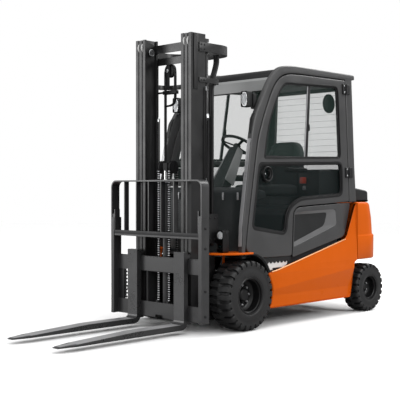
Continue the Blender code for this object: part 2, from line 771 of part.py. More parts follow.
def steering(root) -> None:
    """The column on the dashboard and the wheel on its shaft."""
    y, z = STEERING_CENTRE
    along = Vector((0.0, math.sin(STEERING_TILT), math.cos(STEERING_TILT)))
    across = Vector((0.0, math.cos(STEERING_TILT), -math.sin(STEERING_TILT)))
    centre = Vector((0.0, y, z))
    hub_low = centre - along * 0.040

    def ring(middle: Vector, half_x: float, half_depth: float) -> list:
        return [tuple(middle + Vector((sx * half_x, 0.0, 0.0)) + across * sd * half_depth)
                for sx, sd in ((-1, -1), (1, -1), (1, 1), (-1, 1))]

    foot = centre - along * 0.490
    head = hub_low - along * SEAT
    column = loft([ring(foot, 0.075, 0.055), ring(head, 0.045, 0.035)])
    crest, rear = DASH_CREST, DASH_REAR
    cut = plate([(0.0, 1.0), (0.6, 1.0), (0.6, rear[1] + SEAT), (rear[0], rear[1] + SEAT),
                 (crest[0], crest[1] + SEAT), (0.0, crest[1] + SEAT)], (-0.2, 0.2))
    make(root, "steering_column", "black_plastic", [column], (cut,))

    sides, tube = 24, 0.014
    rings = []
    for angle in np.linspace(0.0, 2.0 * math.pi, sides, endpoint=False):
        out = Vector((1.0, 0.0, 0.0)) * math.cos(angle) + across * math.sin(angle)
        rings.append([
            tuple(centre + out * (STEERING_RADIUS - tube + tube * math.cos(a)) + along * tube * math.sin(a))
            for a in np.linspace(0.0, 2.0 * math.pi, 8, endpoint=False)
        ])
    vertices = [point for one in rings for point in one]
    faces = []
    for i in range(sides):
        for j in range(8):
            k, m = (i + 1) % sides, (j + 1) % 8
            faces.append([i * 8 + j, k * 8 + j, k * 8 + m, i * 8 + m])
    hub = rod(tuple(hub_low), tuple(centre + along * 0.006), 0.034)
    shapes = [mesh_of(vertices, faces), hub]
    for angle in (90.0, 210.0, 330.0):
        out = Vector((1.0, 0.0, 0.0)) * math.cos(math.radians(angle)) + across * math.sin(math.radians(angle))
        start = centre - along * 0.016
        end = centre + out * (STEERING_RADIUS - tube)
        shapes.append(rod(tuple(start), tuple(end), 0.009, 10))
    make(root, "steering_wheel", "black_plastic", shapes)


def seat(root) -> None:
    meet = 1.150
    cushion = [(0.690, 1.150), (0.700, SEAT_Z), (meet - SEAT, SEAT_Z), (meet - SEAT, 1.200), (0.730, 1.225),
               (0.700, 1.205)]
    make(root, "seat_cushion", "seat_fabric", [plate(cushion, (-0.240, 0.240))])
    back = [(meet, SEAT_Z), (1.240, SEAT_Z), (1.290, 1.600), (1.270, 1.632), (1.215, 1.632), (meet, 1.240)]
    make(root, "seat_back", "seat_fabric", [plate(back, (-0.200, 0.200))])


def lamps(root) -> None:
    """The headlight on each fender and the work lamp on each front pillar."""
    for side in (1, -1):
        housing = box((0.420, 0.500), (-0.215, -0.130), (0.650 + SEAT, 0.840))
        make(root, f"headlight_{side_name(side)}", "black_plastic", [mirrored(housing, side)])
        top = 2.010
        half = cab_side_x(1.930) - PILLAR_THICKNESS
        lamp = box((half - 0.085, half - 0.010), (0.130, 0.235), (1.870, top))
        arm = box((half - 0.040, half - SEAT), (0.200, 0.245), (1.880, 1.960))
        make(root, f"work_lamp_{side_name(side)}", "black_plastic", [mirrored(lamp, side), mirrored(arm, side)])


# ---------------------------------------------------------------- mast


def channel(x: tuple, rear_y: float, z: tuple, web: str) -> bpy.types.Mesh:
    """A mast rail: front and rear flanges joined by a web that lies outside or in the middle."""
    low, high = x
    front, flange = MAST_FRONT_Y, RAIL_FLANGE
    web_x = (high - 0.013, high) if web == "outside" else ((low + high) / 2.0 - 0.006, (low + high) / 2.0 + 0.006)
    if web == "outside":
        plan = [(low, front), (high, front), (high, rear_y), (low, rear_y), (low, rear_y - flange),
                (web_x[0], rear_y - flange), (web_x[0], front + flange), (low, front + flange)]
    else:
        plan = [(low, front), (high, front), (high, front + flange), (web_x[1], front + flange),
                (web_x[1], rear_y - flange), (high, rear_y - flange), (high, rear_y), (low, rear_y),
                (low, rear_y - flange), (web_x[0], rear_y - flange), (web_x[0], front + flange),
                (low, front + flange)]
    return slab(plan, z)


def roller_place(rail_depth: float) -> tuple:
    """The y and the radius of a roller that runs between the flanges of a rail."""
    return MAST_FRONT_Y + rail_depth / 2.0, rail_depth / 2.0 - RAIL_FLANGE - RUN


def bow(reach_y: float, corner: float, x: float, start_y: float, thickness: float, z: tuple) -> bpy.types.Mesh:
    """A flat bar bent back round the stages behind the mast: a U seen from above."""
    outer = [(x, start_y)] + arc((x - corner, reach_y - corner), corner, 0.0, 90.0, 6)
    inner_corner = corner - thickness
    inner = [(x - thickness, start_y)] + arc((x - corner, reach_y - corner), inner_corner, 0.0, 90.0, 6)
    outer_all = outer + [(-px, py) for px, py in reversed(outer)]
    inner_all = inner + [(-px, py) for px, py in reversed(inner)]
    return slab(outer_all + inner_all[::-1], z)


def outer_mast(root) -> None:
    """The fixed stage: rails, bows, lower cheeks with the cross plate, axle eyes and lift barrels."""
    rear = MAST_FRONT_Y + RAIL_DEPTH
    shapes = []
    cuts = []
    cheek_x = (OUTER_RAIL_X[1] - 0.010, OUTER_RAIL_X[1] + 0.017)
    cross_y = (-0.176, -0.154)
    for side in (1, -1):
        rail = channel(OUTER_RAIL_X, rear, (MAST_BOTTOM_Z, MAST_TOP_Z), "outside")
        cheek = box(cheek_x, (-0.300, cross_y[1]), (MAST_BOTTOM_Z, 0.620))
        bracket = box((OUTER_RAIL_X[1] - 0.008, 0.390), (-0.286, -0.158), (0.728, 0.968))
        eye_x = (0.292, OUTER_RAIL_X[1] + 0.001)
        arm = plate([(cross_y[0] + 0.004, 0.200), (0.0, FRONT_RADIUS - 0.105), (0.0, FRONT_RADIUS + 0.105),
                     (cross_y[0] + 0.004, 0.420)], eye_x)
        eye = rod((eye_x[0], 0.0, FRONT_RADIUS), (eye_x[1], 0.0, FRONT_RADIUS), 0.105, ROUND_SIDES)
        bore = rod((eye_x[0] - 0.02, 0.0, FRONT_RADIUS), (eye_x[1] + 0.02, 0.0, FRONT_RADIUS),
                   (AXLE_TUBE_RADIUS + RUN) / math.cos(math.pi / ROUND_SIDES), ROUND_SIDES)
        x, y = LIFT_CYLINDER
        barrel = rod((x, y, 0.110), (x, y, LIFT_BARREL_TOP_Z), LIFT_BARREL_RADIUS)
        heel = box((OUTER_RAIL_X[0], OUTER_RAIL_X[1]), (rear - 0.004, cross_y[0] + 0.004), (MAST_BOTTOM_Z, 0.130))
        foot = box((x - 0.036, OUTER_RAIL_X[1]), (rear + 0.007, cross_y[0] + 0.004), (MAST_BOTTOM_Z, 0.130))
        barrel_bore = rod((x, y, 0.200), (x, y, LIFT_BARREL_TOP_Z + 0.02), LIFT_ROD_RADIUS + RUN)
        guide = box((OUTER_RAIL_X[0], OUTER_RAIL_X[1]), (rear - 0.004, y), (LIFT_BARREL_TOP_Z - 0.060,
                                                                    LIFT_BARREL_TOP_Z - 0.020))
        ear_outline = [(cross_y[0] + 0.004, TILT_EYE[1] - 0.045), (cross_y[0] + 0.004, TILT_EYE[1] + 0.045)]
        ear_outline += arc(TILT_EYE, 0.030, 90.0, -90.0, 8)
        gap = max(EYE_WIDTH / 2.0, TILT_ROD_RADIUS) + EYE_CLEARANCE
        ears = [plate(ear_outline, (TILT_X - gap - 0.012, TILT_X - gap)),
                plate(ear_outline, (TILT_X + gap, TILT_X + gap + 0.012))]
        pin = rod((TILT_X - gap - 0.006, *TILT_EYE), (TILT_X + gap + 0.006, *TILT_EYE), 0.011, 16)
        shapes += [mirrored(mesh, side) for mesh in (rail, cheek, bracket, arm, eye, heel, foot, barrel, guide,
                                                     *ears, pin)]
        cuts += [mirrored(bore, side), mirrored(barrel_bore, side)]
    shapes.append(box((-cheek_x[1], cheek_x[1]), cross_y, (0.440, 0.560)))
    shapes.append(box((-cheek_x[1], cheek_x[1]), cross_y, (0.160, 0.260)))
    bow_x = OUTER_RAIL_X[1] + 0.009
    shapes.append(bow(TOP_BOW_REACH, 0.180, bow_x, -0.330, 0.016, (2.305, 2.381)))
    shapes.append(bow(LOW_BOW_REACH, 0.110, bow_x, -0.330, 0.016, (2.052, 2.092)))
    make(root, "outer_mast", "mast_steel", shapes, tuple(cuts))


def middle_mast(root) -> None:
    """The second stage, with the lift rods that hang from its top brackets."""
    rear = MAST_FRONT_Y + RAIL_DEPTH
    shapes = []
    back = (rear - 0.011, rear + 0.001)
    x, y = LIFT_CYLINDER
    roller_y, roller_radius = roller_place(RAIL_DEPTH)
    for side in (1, -1):
        rail = channel(MIDDLE_RAIL_X, rear, (MAST_BOTTOM_Z, MAST_TOP_Z - 0.002), "middle")
        tab = box((MIDDLE_RAIL_X[0], MIDDLE_RAIL_X[1]), (rear - 0.004, y), (2.392, 2.420))
        bracket = box((MIDDLE_RAIL_X[0], x + 0.018), (rear + 0.007, y + 0.020), (2.392, 2.420))
        lift_rod = rod((x, y, 0.230), (x, y, 2.400), LIFT_ROD_RADIUS)
        shapes += [mirrored(mesh, side) for mesh in (rail, tab, bracket, lift_rod)]
        for z in ROLLER_Z:
            roller = rod((MIDDLE_RAIL_X[0] + 0.014, roller_y, z), (OUTER_RAIL_X[1] - 0.017, roller_y, z),
                         roller_radius, ROUND_SIDES)
            shapes.append(mirrored(roller, side))
    half = MIDDLE_RAIL_X[1] - 0.004
    for z in ((2.240, 2.300), (1.200, 1.260), (0.110, 0.200)):
        shapes.append(box((-half, half), back, z))
    make(root, "middle_mast", "mast_steel", shapes)


def inner_mast(root) -> None:
    """The third stage, with the free-lift cylinder that stands on its foot."""
    rear = MAST_FRONT_Y + INNER_RAIL_DEPTH
    roller_y, roller_radius = roller_place(RAIL_DEPTH)
    shapes = []
    for side in (1, -1):
        rail = channel(INNER_RAIL_X, rear, (MAST_BOTTOM_Z, MAST_TOP_Z), "outside")
        shapes.append(mirrored(rail, side))
        for z in ROLLER_Z:
            roller = rod((INNER_RAIL_X[1] - 0.006, roller_y, z), (MIDDLE_RAIL_X[0] + 0.0085, roller_y, z),
                         roller_radius, ROUND_SIDES)
            shapes.append(mirrored(roller, side))
    half = INNER_RAIL_X[1] - 0.010
    shapes.append(box((-half, half), (rear - 0.020, rear - 0.001), (2.340, 2.410)))
    shapes.append(box((-half, half), (FREE_CYLINDER_Y - 0.020, rear - 0.001), (MAST_BOTTOM_Z + 0.002, 0.122)))
    barrel = rod((0.0, FREE_CYLINDER_Y, 0.110), (0.0, FREE_CYLINDER_Y, FREE_BARREL_TOP_Z), FREE_BARREL_RADIUS)
    bore = rod((0.0, FREE_CYLINDER_Y, 0.160), (0.0, FREE_CYLINDER_Y, FREE_BARREL_TOP_Z + 0.02),
               FREE_ROD_RADIUS + RUN)
    shapes.append(barrel)
    make(root, "inner_mast", "mast_steel", shapes, (bore,))


def crosshead(root) -> None:
    """The free-lift rod, its head and the two chain wheels."""
    y = FREE_CYLINDER_Y + 0.018
    ram = rod((0.0, FREE_CYLINDER_Y, 0.180), (0.0, FREE_CYLINDER_Y, SHEAVE_Z), FREE_ROD_RADIUS)
    axle = rod((-CHAIN_X - 0.014, y, SHEAVE_Z), (CHAIN_X + 0.014, y, SHEAVE_Z), 0.016, 20)
    shapes = [ram, axle, box((-0.022, 0.022), (y - 0.034, y + 0.022), (SHEAVE_Z - 0.040, SHEAVE_Z + 0.036))]
    for side in (1, -1):
        wheel = rod((CHAIN_X - 0.012, y, SHEAVE_Z), (CHAIN_X + 0.012, y, SHEAVE_Z), SHEAVE_RADIUS, 32)
        shapes.append(mirrored(wheel, side))
    make(root, "crosshead", "cast_iron", shapes)


def carriage(root) -> None:
    """Two bars, two side plates and the roller brackets that run in the inner rails."""
    face, depth = CARRIAGE_FACE_Y, CARRIAGE_BAR_DEPTH
    half = CARRIAGE_HALF_WIDTH
    back = face + depth
    shapes = [
        box((-half + 0.010, half - 0.010), (face, back), (CARRIAGE_TOP_Z - CARRIAGE_BAR_HEIGHT, CARRIAGE_TOP_Z)),
        box((-half + 0.010, half - 0.010), (face, back),
            (CARRIAGE_BOTTOM_Z, CARRIAGE_BOTTOM_Z + CARRIAGE_BAR_HEIGHT)),
    ]
    cuts = [box((-0.045, 0.045), (face - 0.02, back + 0.02), (CARRIAGE_BOTTOM_Z - 0.02, CARRIAGE_BOTTOM_Z + 0.022))]
    plate_y = (face - SIDE_PLATE_REACH, face - SIDE_PLATE_REACH + SIDE_PLATE_DEPTH)
    roller_y, roller_radius = roller_place(INNER_RAIL_DEPTH)
    for side in (1, -1):
        plate_side = box((half - SIDE_PLATE_WIDTH, half), plate_y, (CARRIAGE_BOTTOM_Z, 0.930))
        bracket = box((0.160, 0.182), (back - 0.004, roller_y + 0.045), (0.135, 0.570))
        anchor = box((CHAIN_X - 0.014, CHAIN_X + 0.014), (back - 0.004, -0.398), (0.190, 0.220))
        shapes += [mirrored(mesh, side) for mesh in (plate_side, bracket, anchor)]
        for z in (0.205, 0.500):
            roller = rod((0.170, roller_y, z), (INNER_RAIL_X[1] - 0.017, roller_y, z), roller_radius, 32)
            shapes.append(mirrored(roller, side))
    make(root, "carriage", "mast_steel", shapes, tuple(cuts))


def load_backrest(root) -> None:
    """A flat-bar arch on the side plates with upright bars down to a cross bar."""
    front = CARRIAGE_FACE_Y - SIDE_PLATE_REACH
    half = CARRIAGE_HALF_WIDTH
    bar, corner = 0.012, 0.060
    depth = (front, front + SIDE_PLATE_DEPTH)
    top = BACKREST_TOP_Z
    outer = [(half, 0.930 + SEAT)] + arc((half - corner, top - corner), corner, 0.0, 90.0, 6)
    inner = [(half - bar, 0.930 + SEAT)] + arc((half - corner, top - corner), corner - bar, 0.0, 90.0, 6)
    outer_all = outer + [(-x, z) for x, z in reversed(outer)]
    inner_all = inner + [(-x, z) for x, z in reversed(inner)]
    shapes = [panel_y(outer_all + inner_all[::-1], depth)]
    post_inner = half - SIDE_PLATE_WIDTH - SEAT
    for side in (1, -1):
        strap = box((post_inner - 0.010, post_inner), (front + 0.004, front + 0.060), (BACKREST_CROSS_Z, 1.000))
        shoulder = box((post_inner - 0.010, half - 0.002), (front + 0.004, front + 0.060), (0.930 + SEAT, 0.960))
        shapes += [mirrored(strap, side), mirrored(shoulder, side)]
    cross_y = (front + 0.004, front + 0.052)
    shapes.append(box((-post_inner + 0.002, post_inner - 0.002), cross_y, (BACKREST_CROSS_Z, BACKREST_CROSS_Z + 0.016)))
    pitch = 2.0 * half / (BACKREST_BARS + 1) * 0.963
    for number in range(BACKREST_BARS):
        x = (number - (BACKREST_BARS - 1) / 2.0) * pitch
        shapes.append(box((x - 0.005, x + 0.005), cross_y, (BACKREST_CROSS_Z + 0.004, top - 0.004)))
    make(root, "load_backrest", "mast_steel", shapes)


def fork(root, side: int) -> None:
    """A forged fork: tapered blade, round heel, shank and the two hooks on the carriage bars."""
    back = CARRIAGE_FACE_Y - SEAT
    front = back - FORK_THICKNESS
    tip_y = front - FORK_LENGTH
    bottom = FORK_HEEL_Z - FORK_THICKNESS
    heel = 0.070
    outline = [(back, FORK_TOP_Z), (front, FORK_TOP_Z), (front, FORK_HEEL_Z + 0.030)]
    outline += arc((front - 0.030, FORK_HEEL_Z + 0.030), 0.030, 0.0, -90.0, 4)[1:]
    outline += [(tip_y + FORK_TAPER, FORK_HEEL_Z), (tip_y + 0.020, bottom + 0.012), (tip_y, bottom + 0.006),
                (tip_y, bottom)]
    outline += arc((back - heel, bottom + heel), heel, -90.0, 0.0, 6)
    blade_x = (FORK_SPACING / 2.0 - FORK_WIDTH / 2.0, FORK_SPACING / 2.0 + FORK_WIDTH / 2.0)
    blade = plate(outline, blade_x)
    bar_back = CARRIAGE_FACE_Y + CARRIAGE_BAR_DEPTH
    top, low = CARRIAGE_TOP_Z, CARRIAGE_BOTTOM_Z
    hook_x = (blade_x[0] + 0.006, blade_x[1] - 0.006)
    lip = (bar_back + 0.0015, bar_back + 0.0100)
    upper = plate([(back - 0.010, top + SEAT), (lip[0], top + SEAT), (lip[0], top - 0.020),
                   (lip[1], top - 0.020), (lip[1], top + 0.034), (back - 0.010, top + 0.034)], hook_x)
    lower = plate([(back - 0.010, low - SEAT), (lip[0], low - SEAT), (lip[0], low + 0.014),
                   (lip[1], low + 0.014), (lip[1], low - 0.022), (back - 0.010, low - 0.022)], hook_x)
    taper = 0.030
    trims = []
    for edge, sign in ((blade_x[0], -1.0), (blade_x[1], 1.0)):
        corner = [(edge + sign * 0.02, tip_y - 0.02), (edge - sign * taper, tip_y - 0.02),
                  (edge - sign * taper, tip_y), (edge, tip_y + 0.160), (edge + sign * 0.02, tip_y + 0.160)]
        trims.append(mirrored(slab(corner, (-0.05, 0.15)), side))
    make(root, f"fork_{side_name(side)}", "fork_steel",
         [mirrored(blade, side), mirrored(upper, side), mirrored(lower, side)], tuple(trims))


def tilt_cylinder(root, side: int) -> None:
    """The barrel, pinned to the chassis, and the rod whose eye lies round the mast's pin with some room."""
    pivot, eye = Vector((0.0, *TILT_PIVOT)), Vector((0.0, *TILT_EYE))
    along = (eye - pivot).normalized()
    shift = Vector((TILT_X, 0.0, 0.0))

    def at(distance: float) -> tuple:
        return tuple(pivot + along * distance + shift)

    half = EYE_WIDTH / 2.0
    lug = rod((TILT_X - half, *TILT_PIVOT), (TILT_X + half, *TILT_PIVOT), 0.028)
    neck = rod(at(0.010), at(0.050), 0.011, 16)
    tube = rod(at(0.040), at(TILT_BARREL_LENGTH), TILT_BARREL_RADIUS)
    bore = rod(at(0.090), at(TILT_BARREL_LENGTH + 0.02), TILT_ROD_RADIUS + RUN)
    where = side_name(side)
    make(root, f"tilt_barrel_{where}", "black_steel", [mirrored(mesh, side) for mesh in (lug, neck, tube)],
         (mirrored(bore, side),))
    length = (eye - pivot).length
    ram = rod(at(0.120), at(length - 0.020), TILT_ROD_RADIUS)
    ring = rod((TILT_X - half, *TILT_EYE), (TILT_X + half, *TILT_EYE), 0.028)
    hole = rod((TILT_X - half - 0.01, *TILT_EYE), (TILT_X + half + 0.01, *TILT_EYE), 0.011 + EYE_CLEARANCE)
    make(root, f"tilt_rod_{where}", "chromed_rod", [mirrored(ram, side), mirrored(ring, side)],
         (mirrored(hole, side),))


def main() -> None:
    clear_scene()
    root = bpy.data.objects.new("truck_centre", None)
    bpy.context.scene.collection.objects.link(root)
    root.location = (0.0, -CENTRE_Y, 0.0)
    for build in (chassis, battery, counterweight, flanks, fenders, floor_plate, front_cowl, hood_panels,
                  hood_deck, rear_cover, roof_panel, windscreen, rear_wall, steering, seat, lamps, drive_axle,
                  steer_axle, knuckles, wheels, outer_mast, middle_mast, inner_mast, crosshead, carriage,
                  load_backrest):
        build(root)
    for side in (1, -1):
        for build in (cab_side, door, fork, tilt_cylinder):
            build(root, side)


main()
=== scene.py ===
"""The looks of a counterbalance forklift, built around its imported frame.

Lengths are in metres. X points to the truck's left, -Y forwards along the forks and +Z up. An outline in
the plane of the truck's side gives (distance behind the front axle, height above the floor).
"""

import logging
import math
from dataclasses import dataclass, field
from enum import Enum
from functools import reduce
from typing import Callable, Sequence

import bmesh
import bpy
import numpy as np
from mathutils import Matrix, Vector
from mathutils.geometry import tessellate_polygon


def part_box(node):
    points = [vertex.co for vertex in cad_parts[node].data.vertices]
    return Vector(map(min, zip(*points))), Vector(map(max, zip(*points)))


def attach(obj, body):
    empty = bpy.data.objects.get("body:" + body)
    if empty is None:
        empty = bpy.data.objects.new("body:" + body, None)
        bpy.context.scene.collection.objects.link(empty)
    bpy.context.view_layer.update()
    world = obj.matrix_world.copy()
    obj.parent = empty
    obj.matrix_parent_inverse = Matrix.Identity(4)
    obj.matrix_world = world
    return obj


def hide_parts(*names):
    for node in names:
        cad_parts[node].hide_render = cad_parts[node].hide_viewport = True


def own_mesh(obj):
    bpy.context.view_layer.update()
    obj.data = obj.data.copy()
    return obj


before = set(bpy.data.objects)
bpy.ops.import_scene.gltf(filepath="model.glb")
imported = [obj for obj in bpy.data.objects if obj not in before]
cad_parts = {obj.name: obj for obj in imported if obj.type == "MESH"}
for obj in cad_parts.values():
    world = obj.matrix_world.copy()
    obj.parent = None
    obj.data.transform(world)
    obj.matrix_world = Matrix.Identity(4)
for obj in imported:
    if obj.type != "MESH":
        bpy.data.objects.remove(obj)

Array = np.ndarray
Place = Callable[[Array, Array, Array], Array]
LOG = logging.getLogger("forklift")
WELD = 1e-5
SMOOTH_BELOW = math.radians(38.0)
FLAT_BELOW = math.radians(0.6)
HINGE_HEIGHTS = (1.330, 2.119)
HINGE_Y = 1.490
HINGE_OUT = 0.012
HINGE_HALF = 0.048


class Side(Enum):
    """The truck's two sides, as the sign of X."""

    LEFT = 1
    RIGHT = -1

    @property
    def word(self) -> str:
        """The side's name as the frame's nodes spell it."""
        return self.name.lower()


# ---------------------------------------------------------------- shapes


@dataclass
class Shape:
    """A mesh before it becomes an object: corners, four-sided faces and three-sided faces."""

    corners: Array
    quads: Array = field(default_factory=lambda: np.zeros((0, 4), int))
    triangles: Array = field(default_factory=lambda: np.zeros((0, 3), int))

    def joined(self, other: "Shape") -> "Shape":
        """Both shapes in one, each with its own corners."""
        shift = len(self.corners)
        return Shape(
            np.concatenate([self.corners, other.corners]),
            np.concatenate([self.quads, other.quads + shift]),
            np.concatenate([self.triangles, other.triangles + shift]))

    def mirrored(self, side: Side) -> "Shape":
        """The shape drawn for the left, moved to the given side."""
        return Shape(self.corners * (side.value, 1.0, 1.0), self.quads, self.triangles)

    def repeated(self, shifts: Array) -> "Shape":
        """One copy for each row of shifts, all in one shape.

        Args:
            shifts: Vectors, one row each.

        Returns:
            A shape with len(shifts) times the corners.
        """
        count, size = len(shifts), len(self.corners)
        steps = (np.arange(count) * size)[:, None, None]
        return Shape(
            (self.corners[None] + np.asarray(shifts)[:, None]).reshape(-1, 3),
            (self.quads[None] + steps).reshape(-1, 4), (self.triangles[None] + steps).reshape(-1, 3))

    def turned_copies(self, count: int, centre: Sequence[float]) -> "Shape":
        """Copies spread evenly round an axis along X through the centre."""
        angles = np.arange(count) * 2.0 * math.pi / count
        cos, sin = np.cos(angles)[:, None], np.sin(angles)[:, None]
        local = self.corners - np.asarray(centre)
        y = local[None, :, 1] * cos - local[None, :, 2] * sin
        z = local[None, :, 1] * sin + local[None, :, 2] * cos
        x = np.broadcast_to(local[None, :, 0], y.shape)
        copies = Shape(
            np.zeros((len(self.corners), 3)), self.quads, self.triangles).repeated(np.zeros((count, 3)))
        copies.corners = np.stack([x, y, z], -1).reshape(-1, 3) + np.asarray(centre)
        return copies

    def piece(self, name: str) -> bpy.types.Object:
        """The shape as an object at the origin, welded, facing outwards and smooth below the sharp angle."""
        mesh = bpy.data.meshes.new(name)
        mesh.from_pydata(self.corners.tolist(), [], self.quads.tolist() + self.triangles.tolist())
        return settled(name, mesh)


def settled(name: str, mesh: bpy.types.Mesh) -> bpy.types.Object:
    """An object of a mesh whose doubles are merged and whose faces point outwards."""
    work = bmesh.new()
    work.from_mesh(mesh)
    bmesh.ops.remove_doubles(work, verts=work.verts, dist=WELD)
    bmesh.ops.dissolve_degenerate(work, edges=work.edges, dist=WELD)
    bmesh.ops.recalc_face_normals(work, faces=work.faces)
    work.to_mesh(mesh)
    work.free()
    mesh.polygons.foreach_set("use_smooth", np.ones(len(mesh.polygons), bool))
    mesh.set_sharp_from_angle(angle=SMOOTH_BELOW)
    thing = bpy.data.objects.new(name, mesh)
    bpy.context.scene.collection.objects.link(thing)
    return thing


def all_joined(shapes: Sequence[Shape]) -> Shape:
    """Many shapes in one."""
    return reduce(Shape.joined, shapes)


def both_sides(shape: Shape) -> Shape:
    """The shape and its mirror image."""
    return shape.joined(shape.mirrored(Side.RIGHT))


def grid(points: Array, wrap_rows: bool = False, wrap_columns: bool = False) -> Shape:
    """A surface on a grid of points: face (i, j) joins point (i, j) to its next row and next column.

    Args:
        points: Corners by row, column and axis.
        wrap_rows: Whether the last row joins the first.
        wrap_columns: Whether the last column joins the first.

    Returns:
        The open or closed surface.
    """
    rows, columns = points.shape[:2]
    i, j = np.meshgrid(
        np.arange(rows if wrap_rows else rows - 1), np.arange(columns if wrap_columns else columns - 1),
        indexing="ij")
    i, j = i.ravel(), j.ravel()
    k, m = (i + 1) % rows, (j + 1) % columns
    quads = np.stack([i * columns + j, k * columns + j, k * columns + m, i * columns + m], 1)
    return Shape(points.reshape(-1, 3), quads)


def lathe(
        profile: Sequence, centre: Sequence[float], axis: Sequence[float] = (1, 0, 0),
        sides: int = 48) -> Shape:
    """A profile of (distance along the axis, radius) turned once round the axis.

    A point at angle t lies at centre + axis * distance + radius * (first * cos t + second * sin t).

    Args:
        profile: The profile's points; an end with radius 0 closes the shape.
        centre: A point on the axis.
        axis: The axis's direction.
        sides: The number of steps round.

    Returns:
        The turned surface.
    """
    line = np.array(profile, float)
    along = np.array(axis, float) / np.linalg.norm(axis)
    helper = np.array([0.0, 1.0, 0.0]) if abs(along[1]) < 0.9 else np.array([0.0, 0.0, 1.0])
    first = np.cross(along, helper)
    first /= np.linalg.norm(first)
    second = np.cross(along, first)
    angle = np.linspace(0.0, 2.0 * math.pi, sides, endpoint=False)
    spoke = np.cos(angle)[:, None] * first + np.sin(angle)[:, None] * second
    points = np.asarray(centre) + line[None, :, :1] * along + line[None, :, 1:2] * spoke[:, None, :]
    return grid(points, wrap_rows=True)


def bar(
        start: Sequence[float], end: Sequence[float], radius: float, sides: int = 20,
        edge: float = 0.001) -> Shape:
    """A closed round bar with a small chamfer at both ends."""
    start, end = np.asarray(start, float), np.asarray(end, float)
    length = float(np.linalg.norm(end - start))
    profile = [
        (0, 0), (0, radius - edge), (edge, radius), (length - edge, radius), (length, radius - edge),
        (length, 0)]
    return lathe(profile, start, end - start, sides)


def curve_through(points: Sequence, steps: int = 8) -> Array:
    """A smooth line through points.

    On each stretch it is the cubic whose slope at a point is half the step across that point.

    Args:
        points: The points, in order.
        steps: The number of steps on each stretch.

    Returns:
        The line's points, one row each.
    """
    p = np.array(points, float)
    ends = np.concatenate([[2 * p[0] - p[1]], p, [2 * p[-1] - p[-2]]])
    a, b, c, d = ends[:-3, None], ends[1:-2, None], ends[2:-1, None], ends[3:, None]
    t = np.linspace(0.0, 1.0, steps, endpoint=False)[None, :, None]
    line = 0.5 * (2 * b + (c - a) * t + (2 * a - 5 * b + 4 * c - d) * t**2 + (3 * b - a - 3 * c + d) * t**3)
    return np.concatenate([line.reshape(-1, p.shape[1]), p[-1:]])


def fan(size: int) -> Array:
    """The three-sided faces that close a ring of points, all from its first point."""
    return np.stack([np.zeros(size - 2, int), np.arange(1, size - 1), np.arange(2, size)], 1)


def swept(path: Array, section: Array, up: Sequence[float] = (0, 0, 1), closed: bool = False) -> Shape:
    """A section of (sideways, upwards) points carried along a path, with flat ends.

    Sideways is the path's direction crossed with up, and upwards is at right angles to both.

    Args:
        path: Points in space, one row each.
        section: Points of the closed section.
        up: A direction that the path never runs along.
        closed: Whether the path's end joins its start.

    Returns:
        The closed surface.
    """
    step = np.gradient(path, axis=0)
    if closed:
        step = np.roll(path, -1, 0) - np.roll(path, 1, 0)
    along = step / np.linalg.norm(step, axis=1)[:, None]
    sideways = np.cross(along, np.asarray(up, float))
    sideways /= np.linalg.norm(sideways, axis=1)[:, None]
    upwards = np.cross(sideways, along)
    out, high = section[None, :, :1], section[None, :, 1:2]
    points = path[:, None] + out * sideways[:, None] + high * upwards[:, None]
    body = grid(points, wrap_rows=closed, wrap_columns=True)
    if closed:
        return body
    cap = fan(len(section))
    body.triangles = np.concatenate([cap, cap[:, ::-1] + (len(path) - 1) * len(section)])
    return body


def round_section(radius: float, sides: int = 12) -> Array:
    """The points of a circle, for a tube."""
    angle = np.linspace(0.0, 2.0 * math.pi, sides, endpoint=False)
    return radius * np.stack([np.cos(angle), np.sin(angle)], 1)


def tube(points: Sequence, radius: float, up: Sequence[float] = (0, 0, 1), sides: int = 12) -> Shape:
    """A round tube on the smooth line through points."""
    return swept(curve_through(points), round_section(radius, sides), up)


# ---------------------------------------------------------------- plates


def filleted(corners: Sequence, cut: float | Sequence[float], steps: int = 6) -> Array:
    """A closed outline with its corners rounded.

    Each corner P becomes the curve (1-t)^2 S + 2t(1-t) P + t^2 E, from S on the edge before it to E on the
    edge after it.

    Args:
        corners: The outline's corners.
        cut: How far S and E lie from the corner, for all corners or for each. It is kept just under half an
            edge.
        steps: The number of steps on each curve.

    Returns:
        The rounded outline's points.
    """
    p = np.array(corners, float)
    before, after = np.roll(p, 1, 0) - p, np.roll(p, -1, 0) - p
    back, ahead = np.linalg.norm(before, axis=1), np.linalg.norm(after, axis=1)
    wish = np.broadcast_to(np.asarray(cut, float), len(p))
    start = p + before * (np.minimum(wish, 0.49 * back) / back)[:, None]
    end = p + after * (np.minimum(wish, 0.49 * ahead) / ahead)[:, None]
    t = np.linspace(0.0, 1.0, steps + 1)[None, :, None]
    line = (1 - t) ** 2 * start[:, None] + 2 * t * (1 - t) * p[:, None] + t**2 * end[:, None]
    return line.reshape(-1, 2)


def turning(outline: Array) -> float:
    """Twice the outline's signed area: positive when it runs anticlockwise."""
    after = np.roll(outline, -1, 0)
    return float(np.sum(outline[:, 0] * after[:, 1] - after[:, 0] * outline[:, 1]))


def anticlockwise(outline: Array) -> Array:
    """The outline, turned round if it runs clockwise."""
    return outline if turning(outline) > 0 else outline[::-1]


def inset(outline: Array, distance: float) -> Array:
    """An anticlockwise outline moved inwards.

    Each point goes along the mean of its edges' normals, by distance / cos of half the turn there.
    """
    edge = np.roll(outline, -1, 0) - outline
    edge /= np.maximum(np.linalg.norm(edge, axis=1), 1e-9)[:, None]
    normal = np.stack([-edge[:, 1], edge[:, 0]], 1)
    mean = normal + np.roll(normal, 1, 0)
    mean /= np.maximum(np.linalg.norm(mean, axis=1), 1e-9)[:, None]
    stretch = 1.0 / np.maximum(np.sum(mean * normal, 1), 0.5)
    return outline + mean * (distance * stretch)[:, None]


